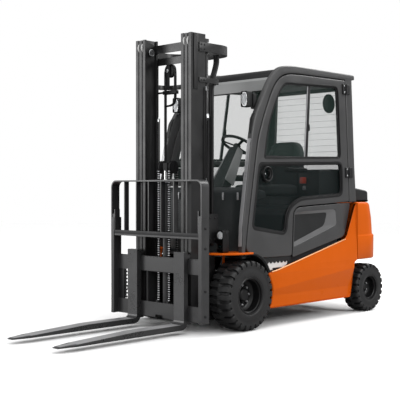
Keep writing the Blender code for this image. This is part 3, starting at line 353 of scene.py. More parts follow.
def plate(
        outer: Array, depth: tuple[float, float], place: Place, edge: float = 0.003,
        holes: Sequence[Array] = (), steps: int = 3) -> Shape:
    """A flat piece with round edges: outlines drawn in a plane, given a depth, and placed in space.

    The edge's rings lie at inset r(1 - sin a) and depth r(1 - cos a) below the face, for a from 0 to a right
    angle.

    Args:
        outer: The outline.
        depth: The lowest and highest depth.
        place: What turns (first, second, depth) into points in space.
        edge: The radius of the edges.
        holes: Outlines of openings.
        steps: The number of steps on each round edge.

    Returns:
        The closed plate.
    """
    angle = np.linspace(0.0, math.pi / 2.0, steps + 1)
    inward, down = edge * (1 - np.sin(angle)), edge * (1 - np.cos(angle))
    insets = np.concatenate([inward, inward[::-1]])
    depths = np.concatenate([depth[1] - down, depth[0] + down[::-1]])
    shape, tops = None, []
    for number, line in enumerate([outer, *holes]):
        line = anticlockwise(line)
        sign = -1.0 if number else 1.0
        rings = np.stack([inset(line, sign * step) for step in insets])
        deep = np.broadcast_to(depths[:, None], rings.shape[:2])
        wall = grid(place(rings[..., 0], rings[..., 1], deep), wrap_columns=True)
        tops.append((0 if shape is None else len(shape.corners), len(line), rings[0]))
        shape = wall if shape is None else shape.joined(wall)
    faces = np.array(
        tessellate_polygon([[Vector((a, b, 0.0)) for a, b in ring] for _, _, ring in tops]), int)
    index = np.concatenate([start + np.arange(size) for start, size, _ in tops])
    low = np.concatenate([start + np.arange(size) + size * (len(insets) - 1) for start, size, _ in tops])
    shape.triangles = np.concatenate([shape.triangles, index[faces], low[faces][:, ::-1]])
    return shape


@dataclass(frozen=True)
class Datum:
    """Places read from the frame that the outlines are measured from."""

    axle_y: float
    waist_x: float = 0.575
    waist_z: float = 0.600
    lean: float = 0.0455

    def cab_x(self, z: Array | float) -> Array | float:
        """How far out the leaning cab side lies at a height."""
        return self.waist_x - self.lean * (z - self.waist_z)

    def side_on(self, a: Array, b: Array, depth: Array) -> Array:
        """Places an outline of (y, z) with its depth along X."""
        return np.stack([depth, a + self.axle_y, b], -1)

    def on_cab(self, a: Array, b: Array, depth: Array) -> Array:
        """Places an outline of (y, z) on the leaning cab side, with its depth outwards."""
        return np.stack([depth + self.cab_x(b), a + self.axle_y, b], -1)

    def across(self, a: Array, b: Array, depth: Array) -> Array:
        """Places an outline of (x, z) with its depth along Y."""
        return np.stack([a, depth + self.axle_y, b], -1)

    def level(self, a: Array, b: Array, depth: Array) -> Array:
        """Places an outline of (x, y) with its depth along Z."""
        return np.stack([a, b + self.axle_y, depth], -1)

    def point(self, x: float, y: float, z: float) -> Array:
        """A point measured from the front axle, in the frame."""
        return np.array([x, y + self.axle_y, z])


def middle(node: str) -> Vector:
    """The centre of a node's box."""
    low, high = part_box(node)
    return (low + high) / 2.0


DATUM = Datum(axle_y=middle("tyre_front_left").y)


def rectangle(a: tuple[float, float], b: tuple[float, float], cut: float = 0.0) -> Array:
    """A rectangle's outline, with its corners rounded if cut isn't 0."""
    corners = [(a[0], b[0]), (a[1], b[0]), (a[1], b[1]), (a[0], b[1])]
    return filleted(corners, cut, 5) if cut else np.array(corners, float)


def block(
        x: tuple[float, float], y: tuple[float, float], z: tuple[float, float], edge: float = 0.003,
        cut: float = 0.0) -> Shape:
    """A box with round edges, between distances along each axis; y is measured from the front axle."""
    return plate(rectangle(x, y, cut), z, DATUM.level, edge)


def softened(node: str, width: float) -> bpy.types.Object:
    """A copy of a frame node with its flat faces joined up and its sharp edges rounded."""
    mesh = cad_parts[node].data.copy()
    work = bmesh.new()
    work.from_mesh(mesh)
    bmesh.ops.remove_doubles(work, verts=work.verts, dist=WELD)
    bmesh.ops.dissolve_limit(work, angle_limit=FLAT_BELOW, verts=work.verts, edges=work.edges)
    work.to_mesh(mesh)
    work.free()
    mesh.materials.clear()
    thing = settled(f"{node}_shape", mesh)
    bevel = thing.modifiers.new("round edges", "BEVEL")
    bevel.width = width
    bevel.segments = 2
    bevel.limit_method = "ANGLE"
    bevel.angle_limit = SMOOTH_BELOW
    bevel.use_clamp_overlap = True
    bevel.harden_normals = True
    return thing


# ---------------------------------------------------------------- finishes


class Look(Enum):
    """What kind of surface a finish has, which chooses the detail it is given."""

    PAINT = "paint"
    PLASTIC = "plastic"
    STEEL = "steel"
    CAST = "cast"
    RUBBER = "rubber"
    CLOTH = "cloth"
    GLASS = "glass"
    POLISHED = "polished"


@dataclass(frozen=True)
class Finish:
    """One surface finish: its colour, its gloss and the fine detail that its look calls for."""

    name: str
    slot: str
    look: Look
    colour: tuple[float, float, float]
    roughness: float
    metallic: float = 0.0
    gloss: float = 0.5
    opacity: float = 1.0
    grain: float = 400.0
    relief: float = 0.0002
    mottle: float = 0.12
    wear: float = 0.0
    worn: tuple[float, float, float] = (0.30, 0.30, 0.30)

    def material(self) -> bpy.types.Material:
        """The finish's material, made the first time it is asked for."""
        found = bpy.data.materials.get(self.name)
        if found:
            return found
        made = bpy.data.materials.new(self.name)
        made.use_nodes = True
        made.diffuse_color = (*self.colour, 1.0)
        shader = made.node_tree.nodes["Principled BSDF"]
        for socket, value in (
                ("Base Color", made.diffuse_color), ("Roughness", self.roughness),
                ("Metallic", self.metallic), ("Specular IOR Level", self.gloss), ("Alpha", self.opacity)):
            shader.inputs[socket].default_value = value
        if self.look is Look.GLASS:
            return made
        nodes = Nodes(made)
        where = nodes.add("ShaderNodeTexCoord").outputs["Object"]
        self.colour_detail(nodes, shader, where)
        self.relief_detail(nodes, shader, where)
        return made

    def colour_detail(self, nodes: "Nodes", shader: bpy.types.Node, where: bpy.types.NodeSocket) -> None:
        """Cloudy variation of the colour and the gloss, and a paler colour where edges have worn."""
        cloud = nodes.noise(where, 6.0, 5.0)
        fine = nodes.noise(where, self.grain * 0.25, 3.0)
        mixed = nodes.maths(
            "ADD", nodes.maths("MULTIPLY", cloud, 0.65), nodes.maths("MULTIPLY", fine, 0.35))
        dark = tuple(c * (1.0 - self.mottle) for c in self.colour)
        light = tuple(min(c * (1.0 + self.mottle) + 0.002, 1.0) for c in self.colour)
        colour = nodes.mix(nodes.spread(mixed, 0.30, 0.70, 0.0, 1.0), dark, light)
        if self.wear:
            colour = nodes.mix(
                nodes.maths("MULTIPLY", nodes.edges(0.004), nodes.spread(fine, 0.42, 0.62, 0.0, self.wear)),
                colour, self.worn)
        nodes.link(colour, shader.inputs["Base Color"])
        swing = 0.25 * self.roughness
        rough = nodes.spread(mixed, 0.30, 0.70, self.roughness - swing, min(self.roughness + swing, 1.0))
        nodes.link(rough, shader.inputs["Roughness"])

    def relief_detail(self, nodes: "Nodes", shader: bpy.types.Node, where: bpy.types.NodeSocket) -> None:
        """Fine relief: peel in paint, grain in plastic, scale in steel, or a weave in cloth."""
        if self.look is Look.CLOTH:
            height = nodes.weave(where, self.grain)
        elif self.look is Look.CAST:
            height = nodes.noise(where, self.grain, 8.0)
        elif self.look in (Look.PLASTIC, Look.RUBBER):
            height = nodes.cells(where, self.grain)
        else:
            height = nodes.noise(where, self.grain * 0.5, 2.0)
        bump = nodes.add("ShaderNodeBump")
        bump.inputs["Strength"].default_value = 0.6
        bump.inputs["Distance"].default_value = self.relief
        nodes.link(height, bump.inputs["Height"])
        nodes.link(bump.outputs["Normal"], shader.inputs["Normal"])

    def dress(self, piece: bpy.types.Object, body: str, *nodes: str) -> bpy.types.Object:
        """Gives a piece this finish and its place in the frame.

        Args:
            piece: The piece.
            body: The body that it rides on.
            nodes: The frame's nodes that it stands for.

        Returns:
            The piece.
        """
        piece.data.materials.clear()
        piece.data.materials.append(self.material())
        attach(piece, body)
        if nodes:
            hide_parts(*nodes)
        LOG.info("%s rides on %s", piece.name, body)
        return piece


@dataclass
class Nodes:
    """A material's node tree, with the small steps that the finishes are made of."""

    material: bpy.types.Material

    def add(self, kind: str) -> bpy.types.Node:
        """A new node."""
        return self.material.node_tree.nodes.new(kind)

    def link(self, source: bpy.types.NodeSocket, target: bpy.types.NodeSocket) -> None:
        """Joins two sockets."""
        self.material.node_tree.links.new(source, target)

    def feed(self, value: object, target: bpy.types.NodeSocket) -> None:
        """Links a socket, or sets a number or colour."""
        if isinstance(value, bpy.types.NodeSocket):
            self.link(value, target)
        elif isinstance(value, tuple):
            target.default_value = (*value, 1.0)
        else:
            target.default_value = value

    def noise(self, where: bpy.types.NodeSocket, scale: float, detail: float) -> bpy.types.NodeSocket:
        """Cloudy noise of a given number of waves a metre."""
        node = self.add("ShaderNodeTexNoise")
        node.inputs["Scale"].default_value = scale
        node.inputs["Detail"].default_value = detail
        self.link(where, node.inputs["Vector"])
        return node.outputs["Fac"]

    def cells(self, where: bpy.types.NodeSocket, scale: float) -> bpy.types.NodeSocket:
        """The pebbles of a moulded grain."""
        node = self.add("ShaderNodeTexVoronoi")
        node.feature = "SMOOTH_F1"
        node.inputs["Scale"].default_value = scale
        self.link(where, node.inputs["Vector"])
        return node.outputs["Distance"]

    def weave(self, where: bpy.types.NodeSocket, scale: float) -> bpy.types.NodeSocket:
        """Threads that cross: the product of a wave along Y and a wave along X."""
        waves = []
        for direction in ("X", "Y"):
            node = self.add("ShaderNodeTexWave")
            node.bands_direction = direction
            node.inputs["Scale"].default_value = scale * 0.3
            node.inputs["Distortion"].default_value = 0.4
            self.link(where, node.inputs["Vector"])
            waves.append(node.outputs["Fac"])
        return self.maths("MULTIPLY", *waves)

    def maths(self, operation: str, first: object, second: object) -> bpy.types.NodeSocket:
        """One sum."""
        node = self.add("ShaderNodeMath")
        node.operation = operation
        self.feed(first, node.inputs[0])
        self.feed(second, node.inputs[1])
        return node.outputs[0]

    def spread(
            self, value: bpy.types.NodeSocket, low: float, high: float, to_low: float,
            to_high: float) -> bpy.types.NodeSocket:
        """A value moved from one range to another, and kept inside it."""
        node = self.add("ShaderNodeMapRange")
        self.link(value, node.inputs["Value"])
        for name, number in (
                ("From Min", low), ("From Max", high), ("To Min", to_low), ("To Max", to_high)):
            node.inputs[name].default_value = number
        return node.outputs["Result"]

    def mix(self, share: bpy.types.NodeSocket, first: object, second: object) -> bpy.types.NodeSocket:
        """A colour between two others."""
        node = self.add("ShaderNodeMix")
        node.data_type = "RGBA"
        self.link(share, node.inputs[0])
        self.feed(first, node.inputs[6])
        self.feed(second, node.inputs[7])
        return node.outputs[2]

    def edges(self, width: float) -> bpy.types.NodeSocket:
        """1 along a shape's edges and 0 on its faces: how far a rounded normal turns from the face's own."""
        bevel = self.add("ShaderNodeBevel")
        bevel.samples = 3
        bevel.inputs["Radius"].default_value = width
        geometry = self.add("ShaderNodeNewGeometry")
        dot = self.add("ShaderNodeVectorMath")
        dot.operation = "DOT_PRODUCT"
        self.link(bevel.outputs["Normal"], dot.inputs[0])
        self.link(geometry.outputs["Normal"], dot.inputs[1])
        return self.spread(dot.outputs["Value"], 0.98, 0.80, 0.0, 1.0)


ORANGE = Finish(
    "orange paint", "orange_paint", Look.PAINT, (0.59, 0.098, 0.002), 0.32, gloss=0.10, grain=900.0,
    relief=0.00005, mottle=0.03)
# A pale orange used only for a painted highlight along the flank's top edge.
ORANGE_HIGHLIGHT = Finish(
    "orange edge", "orange_paint", Look.PAINT, (0.95, 0.48, 0.22), 0.20, gloss=0.6, grain=900.0,
    relief=0.00003, mottle=0.03)
# The cab's grey plastic made paler for the recess walls: painted light, so that the walls read as lit.
LIT_RECESS_GREY = Finish(
    "recess grey", "grey_plastic", Look.PLASTIC, (0.105, 0.105, 0.107), 0.34, gloss=0.6, grain=1400.0,
    relief=0.0001, mottle=0.05)
CAB_GREY = Finish(
    "cab grey", "grey_plastic", Look.PLASTIC, (0.043, 0.043, 0.044), 0.38, grain=1400.0, relief=0.00012,
    mottle=0.06)
PALE = Finish(
    "pale grey", "grey_plastic", Look.PLASTIC, (0.26, 0.265, 0.265), 0.45, grain=1200.0, relief=0.0001,
    mottle=0.05)
# A pale silver for real trim and fittings, also used as a painted highlight on the front pillars.
SILVER_TRIM_AND_HIGHLIGHT = Finish(
    "silver trim", "grey_plastic", Look.PAINT, (0.36, 0.36, 0.37), 0.30, metallic=0.35, grain=900.0,
    relief=0.00005, mottle=0.04)
STEP_ALLOY = Finish(
    "step alloy", "grey_plastic", Look.PAINT, (0.72, 0.72, 0.71), 0.35, grain=900.0, relief=0.0001,
    mottle=0.04)
BLACK_STEEL = Finish(
    "black steel", "black_steel", Look.STEEL, (0.010, 0.010, 0.011), 0.45, gloss=0.3, grain=500.0,
    relief=0.0002)
MAST_STEEL = Finish(
    "mast steel", "mast_steel", Look.STEEL, (0.010, 0.010, 0.0105), 0.36, gloss=0.45, grain=420.0,
    relief=0.00015, mottle=0.12, wear=0.25, worn=(0.06, 0.06, 0.063))
BAR_STEEL = Finish(
    "bar steel", "mast_steel", Look.STEEL, (0.024, 0.024, 0.025), 0.38, gloss=0.6, grain=420.0,
    relief=0.0002, mottle=0.12, wear=0.25, worn=(0.08, 0.08, 0.083))
FORK_STEEL = Finish(
    "fork steel", "fork_steel", Look.STEEL, (0.040, 0.040, 0.041), 0.30, metallic=0.3, grain=350.0,
    relief=0.0003, mottle=0.18, wear=0.5, worn=(0.22, 0.22, 0.23))
CAST_IRON = Finish(
    "cast iron", "cast_iron", Look.CAST, (0.014, 0.014, 0.015), 0.60, gloss=0.3, grain=260.0, relief=0.0006)
CHROME = Finish(
    "chromed rod", "chromed_rod", Look.POLISHED, (0.72, 0.73, 0.74), 0.14, metallic=1.0, grain=500.0,
    relief=0.00002, mottle=0.04)
ZINC = Finish(
    "zinc fittings", "chromed_rod", Look.POLISHED, (0.60, 0.61, 0.62), 0.28, metallic=1.0, grain=700.0,
    relief=0.00008, mottle=0.10)
LINK_STEEL = Finish(
    "link steel", "chromed_rod", Look.POLISHED, (0.42, 0.42, 0.43), 0.34, metallic=1.0, grain=700.0,
    relief=0.00008, mottle=0.15)
# A pale steel for the fork tops: partly real wear, partly a painted highlight.
WORN_STEEL_AND_SHEEN = Finish(
    "worn steel", "fork_steel", Look.STEEL, (0.28, 0.28, 0.285), 0.35, metallic=0.1, grain=350.0,
    relief=0.0002, mottle=0.25)
RUBBER = Finish(
    "tyre rubber", "tyre_rubber", Look.RUBBER, (0.011, 0.011, 0.0115), 0.50, gloss=0.4, grain=500.0,
    relief=0.0004, mottle=0.18)
RIM_BLACK = Finish(
    "rim black", "black_rim", Look.PAINT, (0.006, 0.006, 0.0065), 0.38, gloss=0.3, grain=700.0,
    relief=0.0001)
BLACK_PLASTIC = Finish(
    "black plastic", "black_plastic", Look.PLASTIC, (0.010, 0.0105, 0.011), 0.48, gloss=0.35, grain=1200.0,
    relief=0.0002)
ROOF_BLACK = Finish(
    "roof black", "black_plastic", Look.PAINT, (0.005, 0.005, 0.0055), 0.34, gloss=0.12, grain=900.0,
    relief=0.00004, mottle=0.05)
TEAL_GREY = Finish(
    "inner moulding", "black_plastic", Look.PLASTIC, (0.014, 0.018, 0.019), 0.50, gloss=0.35, grain=1100.0,
    relief=0.0002)
SEAL = Finish(
    "rubber seal", "black_plastic", Look.RUBBER, (0.005, 0.005, 0.0055), 0.45, gloss=0.3, grain=900.0,
    relief=0.0001)
CLOTH = Finish(
    "seat cloth", "seat_fabric", Look.CLOTH, (0.018, 0.024, 0.024), 0.85, grain=1500.0, relief=0.0004,
    mottle=0.25)
GLASS = Finish(
    "tinted glass", "tinted_glass", Look.GLASS, (0.045, 0.080, 0.068), 0.03, gloss=0.4, opacity=0.14)
CLEAR_GLASS = Finish(
    "clear glass", "tinted_glass", Look.GLASS, (0.05, 0.09, 0.075), 0.03, gloss=0.4, opacity=0.08)
DARK_GLASS = Finish(
    "dark glass", "tinted_glass", Look.GLASS, (0.004, 0.010, 0.010), 0.04, gloss=0.5, opacity=0.28)
LENS = Finish("lamp lens", "tinted_glass", Look.GLASS, (0.86, 0.88, 0.90), 0.05, opacity=0.35)
RED = Finish("buckle red", "seat_fabric", Look.PLASTIC, (0.60, 0.07, 0.035), 0.40)
BATTERY = Finish("battery case", "battery_case", Look.STEEL, (0.030, 0.030, 0.033), 0.5)


def carried(node: str, finish: Finish) -> None:
    """Gives a frame node that stays in view a finish."""
    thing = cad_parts[node]
    if not thing.material_slots:
        thing.data.materials.append(None)
    for place in thing.material_slots:
        place.link = "OBJECT"
        place.material = finish.material()


def soft_edged(node: str, finish: Finish, body: str, width: float = 0.0015) -> None:
    """Stands a round-edged copy of a frame node in its place."""
    finish.dress(softened(node, width), body, node)


def spot(x: float, y: float, z: float) -> Array:
    """A point whose y is measured from the front axle."""
    return DATUM.point(x, y, z)


def line(*points: tuple[float, float, float]) -> Array:
    """Several points whose y is measured from the front axle."""
    return np.array(points, float) + (0.0, DATUM.axle_y, 0.0)


def bolt_head(place: Array, radius: float, height: float, sides: int = 6) -> Shape:
    """A bolt's head that points out along X, with its top edge cut off."""
    profile = [(0, 0), (0, radius), (height - 0.001, radius), (height, radius - 0.002), (height, 0)]
    return lathe(profile, place, sides=sides)


@dataclass
class Sided:
    """A sub-assembly that is drawn for the left and built on its own side."""

    side: Side

    @property
    def body(self) -> str:
        """The body that its pieces ride on."""
        return "truck"

    def add(self, finish: Finish, shape: Shape, name: str, *nodes: str) -> bpy.types.Object:
        """Makes a piece on this side.

        Args:
            finish: What it is made of.
            shape: Its shape, drawn for the left.
            name: Its name without the side.
            nodes: The frame's nodes that it stands for, without the side.

        Returns:
            The piece.
        """
        word = self.side.word
        piece = shape.mirrored(self.side).piece(f"{name}_{word}")
        return finish.dress(piece, self.body, *(f"{node}_{word}" for node in nodes))


# ---------------------------------------------------------------- wheels


@dataclass
class Wheel(Sided):
    """A solid tyre with staggered shoulder lugs on a dished steel rim."""

    position: str
    lugs: int
    nuts: int
    nut_circle: float
    hub_radius: float
    hub_reach: float
    lug_depth: float = 0.020
    samples_per_lug: int = 14
    lip: float = 0.007

    def __post_init__(self) -> None:
        """Reads the wheel's sizes from its frame nodes."""
        low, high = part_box(f"tyre_{self.position}_{self.side.word}")
        self.outer_x = max(abs(low.x), abs(high.x))
        self.inner_x = min(abs(low.x), abs(high.x))
        self.centre = np.array([0.0, (low.y + high.y) / 2.0, (low.z + high.z) / 2.0])
        self.radius = (high.z - low.z) / 2.0
        self.width = self.outer_x - self.inner_x
        rim_low, rim_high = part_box(f"rim_{self.position}_{self.side.word}")
        self.bead = (rim_high.z - rim_low.z) / 2.0

    @property
    def body(self) -> str:
        """The body that turns on the wheel's axle."""
        return f"wheel_{self.position}_{self.side.word}"

    def build(self) -> None:
        """Makes the tyre, the rim and the wheel nuts."""
        self.add(RUBBER, self.tyre(), f"lugged_tyre_{self.position}", f"tyre_{self.position}")
        self.add(RIM_BLACK, self.rim(), f"dished_rim_{self.position}", f"rim_{self.position}")
        self.add(LINK_STEEL, self.wheel_nuts(), f"wheel_nuts_{self.position}")

    def tyre(self) -> Shape:
        """The tyre: a turned section whose radius drops in the gaps between lugs.

        The section runs over the tread from bead to bead. A gap is a smooth dip of the angle, half a step out
        of phase on the two shoulders, that fades out towards the tread's middle and down each side wall.
        """
        half, radius, bead = self.width / 2.0, self.radius, self.bead
        wall = radius - bead
        shoulder = [(-0.90, bead + 0.002)] + [
            (-out, bead + rise * wall)
            for out, rise in (
                (0.985, 0.10), (0.995, 0.30), (0.965, 0.55), (0.990, 0.72), (0.960, 0.88), (0.860, 0.965),
                (0.70, 0.992))]
        shoulder.append((-0.40, radius))
        section = curve_through(
            [*shoulder, (0.0, radius), *((-out, high) for out, high in reversed(shoulder))], 3)
        across, height = section[:, 0], np.minimum(section[:, 1], radius)
        angle = np.linspace(0.0, 2.0 * math.pi, self.lugs * self.samples_per_lug, endpoint=False)
        phase = angle[:, None] * self.lugs / (2.0 * math.pi) + np.where(across > 0.0, 0.5, 0.0)[None]
        phase = phase + 0.10 * np.abs(across)[None]
        dip = 0.5 + 0.5 * np.cos(2.0 * math.pi * phase)
        gap = np.clip((dip - 0.70) * 9.0, 0.0, 1.0)
        gap = gap * gap * (3.0 - 2.0 * gap)
        reach = np.clip((np.abs(across) - 0.10) / 0.06, 0.0, 1.0)
        fade = np.clip((height - bead - 0.70 * wall) / (0.06 * wall), 0.0, 1.0)
        depth = gap * (reach * fade)[None] * self.lug_depth
        turn_in = np.clip((np.abs(across) - 0.80) / 0.2, 0.0, 1.0)[None]
        distance = height[None] - depth
        centre_x = (self.outer_x + self.inner_x) / 2.0
        x = centre_x + half * across[None] - np.sign(across)[None] * depth * turn_in * 0.6
        points = np.stack(
            [np.broadcast_to(x, distance.shape), self.centre[1] + distance * np.cos(angle)[:, None],
             self.centre[2] + distance * np.sin(angle)[:, None]], -1)
        outside = grid(points, wrap_rows=True)
        inside = lathe(
            [(self.inner_x + 0.05 * self.width, bead + 0.002),
             (self.outer_x - 0.05 * self.width, bead + 0.002)], self.centre,
            sides=self.lugs * self.samples_per_lug)
        return outside.joined(inside)

    def rim(self) -> Shape:
        """The rim: lips at the beads, a barrel, a deep disc and the hub cap, all one turned section."""
        bead, outer, inner = self.bead, self.outer_x, self.inner_x
        barrel = bead - 0.010
        face = self.hub_reach - 0.048
        profile = [
            (inner + 0.010, barrel), (inner + 0.006, bead + self.lip), (inner + 0.012, bead + self.lip),
            (inner + 0.016, bead), (outer - 0.016, bead), (outer - 0.011, bead + self.lip),
            (outer - 0.005, bead + self.lip * 1.1), (outer - 0.003, bead + self.lip * 0.5),
            (outer - 0.006, barrel + 0.002), (outer - 0.022, barrel - 0.001),
            (outer - 0.026, barrel - 0.006), (outer - 0.044, barrel - 0.007),
            (outer - 0.048, barrel - 0.002), (face + 0.022, barrel - 0.004), (face + 0.006, barrel - 0.018),
            (face, barrel - 0.032), (face, self.nut_circle + 0.018),
            (face + 0.007, self.nut_circle + 0.012), (face + 0.007, self.nut_circle - 0.014),
            (face + 0.003, self.hub_radius + 0.008), (face + 0.014, self.hub_radius),
            (self.hub_reach - 0.008, self.hub_radius - 0.003), (self.hub_reach, self.hub_radius - 0.012),
            (self.hub_reach, 0.0)]
        back = [(face - 0.010, 0.0), (face - 0.010, barrel - 0.020), (inner + 0.010, barrel)]
        return lathe(profile, self.centre, sides=64).joined(lathe(back, self.centre, sides=64))

    def wheel_nuts(self) -> Shape:
        """The ring of nuts: six-sided prisms with a domed stud end."""
        face = self.hub_reach - 0.041
        seat = self.centre + (face, 0.0, self.nut_circle)
        nut = lathe([(0, 0), (0, 0.013), (0.012, 0.013), (0.014, 0.011), (0.014, 0)], seat, sides=6)
        stud = lathe(
            [(0.010, 0.0), (0.010, 0.007), (0.019, 0.0065), (0.021, 0.004), (0.021, 0)], seat, sides=12)
        return nut.joined(stud).turned_copies(self.nuts, self.centre)


# ---------------------------------------------------------------- body


def creased(
        piece: bpy.types.Object, cuts: Sequence, depth: Callable[[Array, Array], Array],
        face_x: float) -> None:
    """Folds a panel's outer face along straight lines.

    The mesh is cut along each line, and each corner near the outer face moves inwards along X by depth(y, z).

    Args:
        piece: The panel, drawn flat.
        cuts: Pairs of (y, z) points, one pair for each fold.
        depth: How far a point lies behind the outer face.
        face_x: The distance out from the middle past which corners belong to the outer face.
    """
    work = bmesh.new()
    work.from_mesh(piece.data)
    folds = []
    for first, second in cuts:
        start = Vector((0.0, first[0] + DATUM.axle_y, first[1]))
        along = Vector((0.0, second[0] - first[0], second[1] - first[1])).normalized()
        normal = along.cross(Vector((1.0, 0.0, 0.0)))
        parts = [*work.verts, *work.edges, *work.faces]
        made = bmesh.ops.bisect_plane(work, geom=parts, dist=1e-6, plane_co=start, plane_no=normal)
        folds += [part for part in made["geom_cut"] if isinstance(part, bmesh.types.BMEdge)]
    for edge in folds:
        if edge.is_valid and all(abs(corner.co.x) > face_x for corner in edge.verts):
            edge.smooth = False
    work.to_mesh(piece.data)
    work.free()
    count = len(piece.data.vertices)
    places = np.empty(count * 3, np.float32)
    piece.data.vertices.foreach_get("co", places)
    places = places.reshape(-1, 3)
    near = np.abs(places[:, 0]) > face_x
    inward = depth(places[:, 1] - DATUM.axle_y, places[:, 2])
    places[:, 0] -= np.where(near, np.sign(places[:, 0]) * inward, 0.0)
    piece.data.vertices.foreach_set("co", places.ravel())
    piece.data.update()


@dataclass
class Flank(Sided):
    """The folded orange panel between the front wheel and the counterweight."""

    outer_x: float = 0.600
    thickness: float = 0.030
    fold_start: tuple[float, float] = (0.298, 0.317)
    fold_end: tuple[float, float] = (1.478, 0.431)
    low_fold: float = 0.266
    upper_slope: float = 0.060
    lower_slope: float = 0.16

    def outline(self) -> Array:
        """The panel's edge, with the arch round the front wheel."""
        hub = 0.2925
        angle = np.radians(np.linspace(32.8, -25.3, 16))
        arch = np.stack([0.3075 * np.cos(angle), hub + 0.3075 * np.sin(angle)], 1)
        rear = [
            (1.456, 0.161), (1.522, 0.487), (1.568, 0.501), (1.568, 1.040), (1.535, 1.020), (1.392, 0.712),
            (0.487, 0.509)]
        smooth = filleted(
            [tuple(arch[-1]), *rear, tuple(arch[0])],
            [0.012, 0.02, 0.03, 0.02, 0.012, 0.02, 0.05, 0.03, 0.012], 6)
        return np.concatenate([smooth, arch[1:-1]])

    def build(self) -> None:
        """Makes the panel, a pale bead along its top edge as a painted highlight, and its tie to the frame.
        """
        shape = plate(
            self.outline(), (self.outer_x - self.thickness, self.outer_x), DATUM.side_on, 0.012, steps=5)
        panel = shape.mirrored(self.side).piece(f"flank_panel_{self.side.word}")
        slope = (self.fold_end[1] - self.fold_start[1]) / (self.fold_end[0] - self.fold_start[0])

        def depth(y: Array, z: Array) -> Array:
            """Falls away above the upper fold and below it, as far as the lower fold."""
            fold = self.fold_start[1] + slope * (y - self.fold_start[0])
            below = np.clip(fold - z, 0.0, np.maximum(fold - self.low_fold, 0.0))
            return self.upper_slope * np.maximum(z - fold, 0.0) + self.lower_slope * below

        low = (self.fold_start[0], self.low_fold), (self.fold_end[0], self.low_fold)
        creased(panel, [(self.fold_start, self.fold_end), low], depth, self.outer_x - 0.012)
        ORANGE.dress(panel, "truck", f"flank_{self.side.word}")
        # A pale orange bead along the panel's long top edge: a painted highlight where the rounded edge would
        # catch the light. The rear slanted edge has none.
        rim = np.array([(0.5905, 0.300, 0.4705), (0.5880, 0.487, 0.5045), (0.5810, 1.385, 0.7070)])
        self.add(ORANGE_HIGHLIGHT, tube(rim + (0.0, DATUM.axle_y, 0.0), 0.0052, (1, 0, 0), 12), "flank_edge")
        self.add(BLACK_STEEL, block((0.5605, 0.568), (0.500, 1.350), (0.220, 0.300)), "flank_tie")


@dataclass
class Counterweight:
    """The cast block behind: round rear corners, a bumper step and a drawn-in upper part."""

    half: float = 0.590
    corner: float = 0.300
    front: float = 1.575
    rear: float = 2.050
    levels: tuple = (
        (0.505, 0.0, 0.012), (0.508, 0.0, 0.005), (0.515, 0.0, 0.0), (0.724, 0.0, 0.0),
        (0.731, 0.001, 0.0025), (0.735, 0.005, 0.005), (0.738, 0.010, 0.006), (0.744, 0.014, 0.0065),
        (0.900, 0.031, 0.007), (1.020, 0.060, 0.009), (1.038, 0.070, 0.012), (1.046, 0.080, 0.018),
        (1.050, 0.090, 0.028))

    def build(self) -> None:
        """Makes the block, its black top cover and the tow pin."""
        ORANGE.dress(self.block().piece("counterweight_block"), "truck", "counterweight")
        BLACK_PLASTIC.dress(self.cover().piece("rear_cover_lid"), "truck", "rear_cover")
        BLACK_STEEL.dress(self.tow_socket().piece("tow_socket"), "truck")
        CHROME.dress(bar(spot(0, 2.030, 0.785), spot(0, 2.030, 0.905), 0.011).piece("tow_pin"), "truck")
        lift = all_joined(
            [lathe(
                 [(0, 0), (0, 0.026), (0.004, 0.030), (0.004, 0.0)], spot(side * 0.30, 1.80, 1.0495),
                 (0, 0, 1), 24) for side in (1, -1)])
        BLACK_PLASTIC.dress(lift.piece("lifting_plugs"), "truck")

    def block(self) -> Shape:
        """One plan for each level: the rear is moved forwards by the draft and the whole line drawn in."""
        angle = np.linspace(0.0, math.pi / 2.0, 17)
        rings = []
        for height, draft, inward in self.levels:
            back = self.rear - draft - self.corner
            right = np.stack(
                [self.half - self.corner + self.corner * np.cos(angle), back + self.corner * np.sin(angle)],
                1)
            left = right[::-1] * (-1.0, 1.0)
            plan = np.concatenate([[(self.half, self.front)], right, left, [(-self.half, self.front)]])
            plan = inset(plan, inward)
            plan[:, 1] = np.maximum(plan[:, 1], self.front)
            rings.append(np.column_stack([plan, np.full(len(plan), height)]))
        points = np.stack(rings) + (0.0, DATUM.axle_y, 0.0)
        body = grid(points, wrap_columns=True)
        cap = fan(points.shape[1])
        body.triangles = np.concatenate([cap[:, ::-1], cap + (len(rings) - 1) * points.shape[1]])
        return body

    def cover(self) -> Shape:
        """The lid behind the cab: its outline in side view, with rounded ends."""
        outline = filleted(
            [(1.655, 1.0503), (1.885, 1.0503), (1.880, 1.150), (1.855, 1.162), (1.680, 1.186),
             (1.655, 1.180)], [0.004, 0.004, 0.02, 0.02, 0.02, 0.008], 5)
        return plate(outline, (-0.500, 0.500), DATUM.side_on, 0.018, steps=5)

    def tow_socket(self) -> Shape:
        """The two jaws that hold the tow pin, on a round-cornered plate."""
        back = plate(
            rectangle((-0.085, 0.085), (0.775, 0.925), 0.02), (2.000, 2.030), DATUM.across, 0.003,
            [rectangle((-0.055, 0.055), (0.800, 0.900), 0.012)])
        jaws = [
            block((-0.045, 0.045), (2.000, 2.045), (z - 0.006, z + 0.006), 0.003, 0.012)
            for z in (0.795, 0.895)]
        return all_joined([back, *jaws])


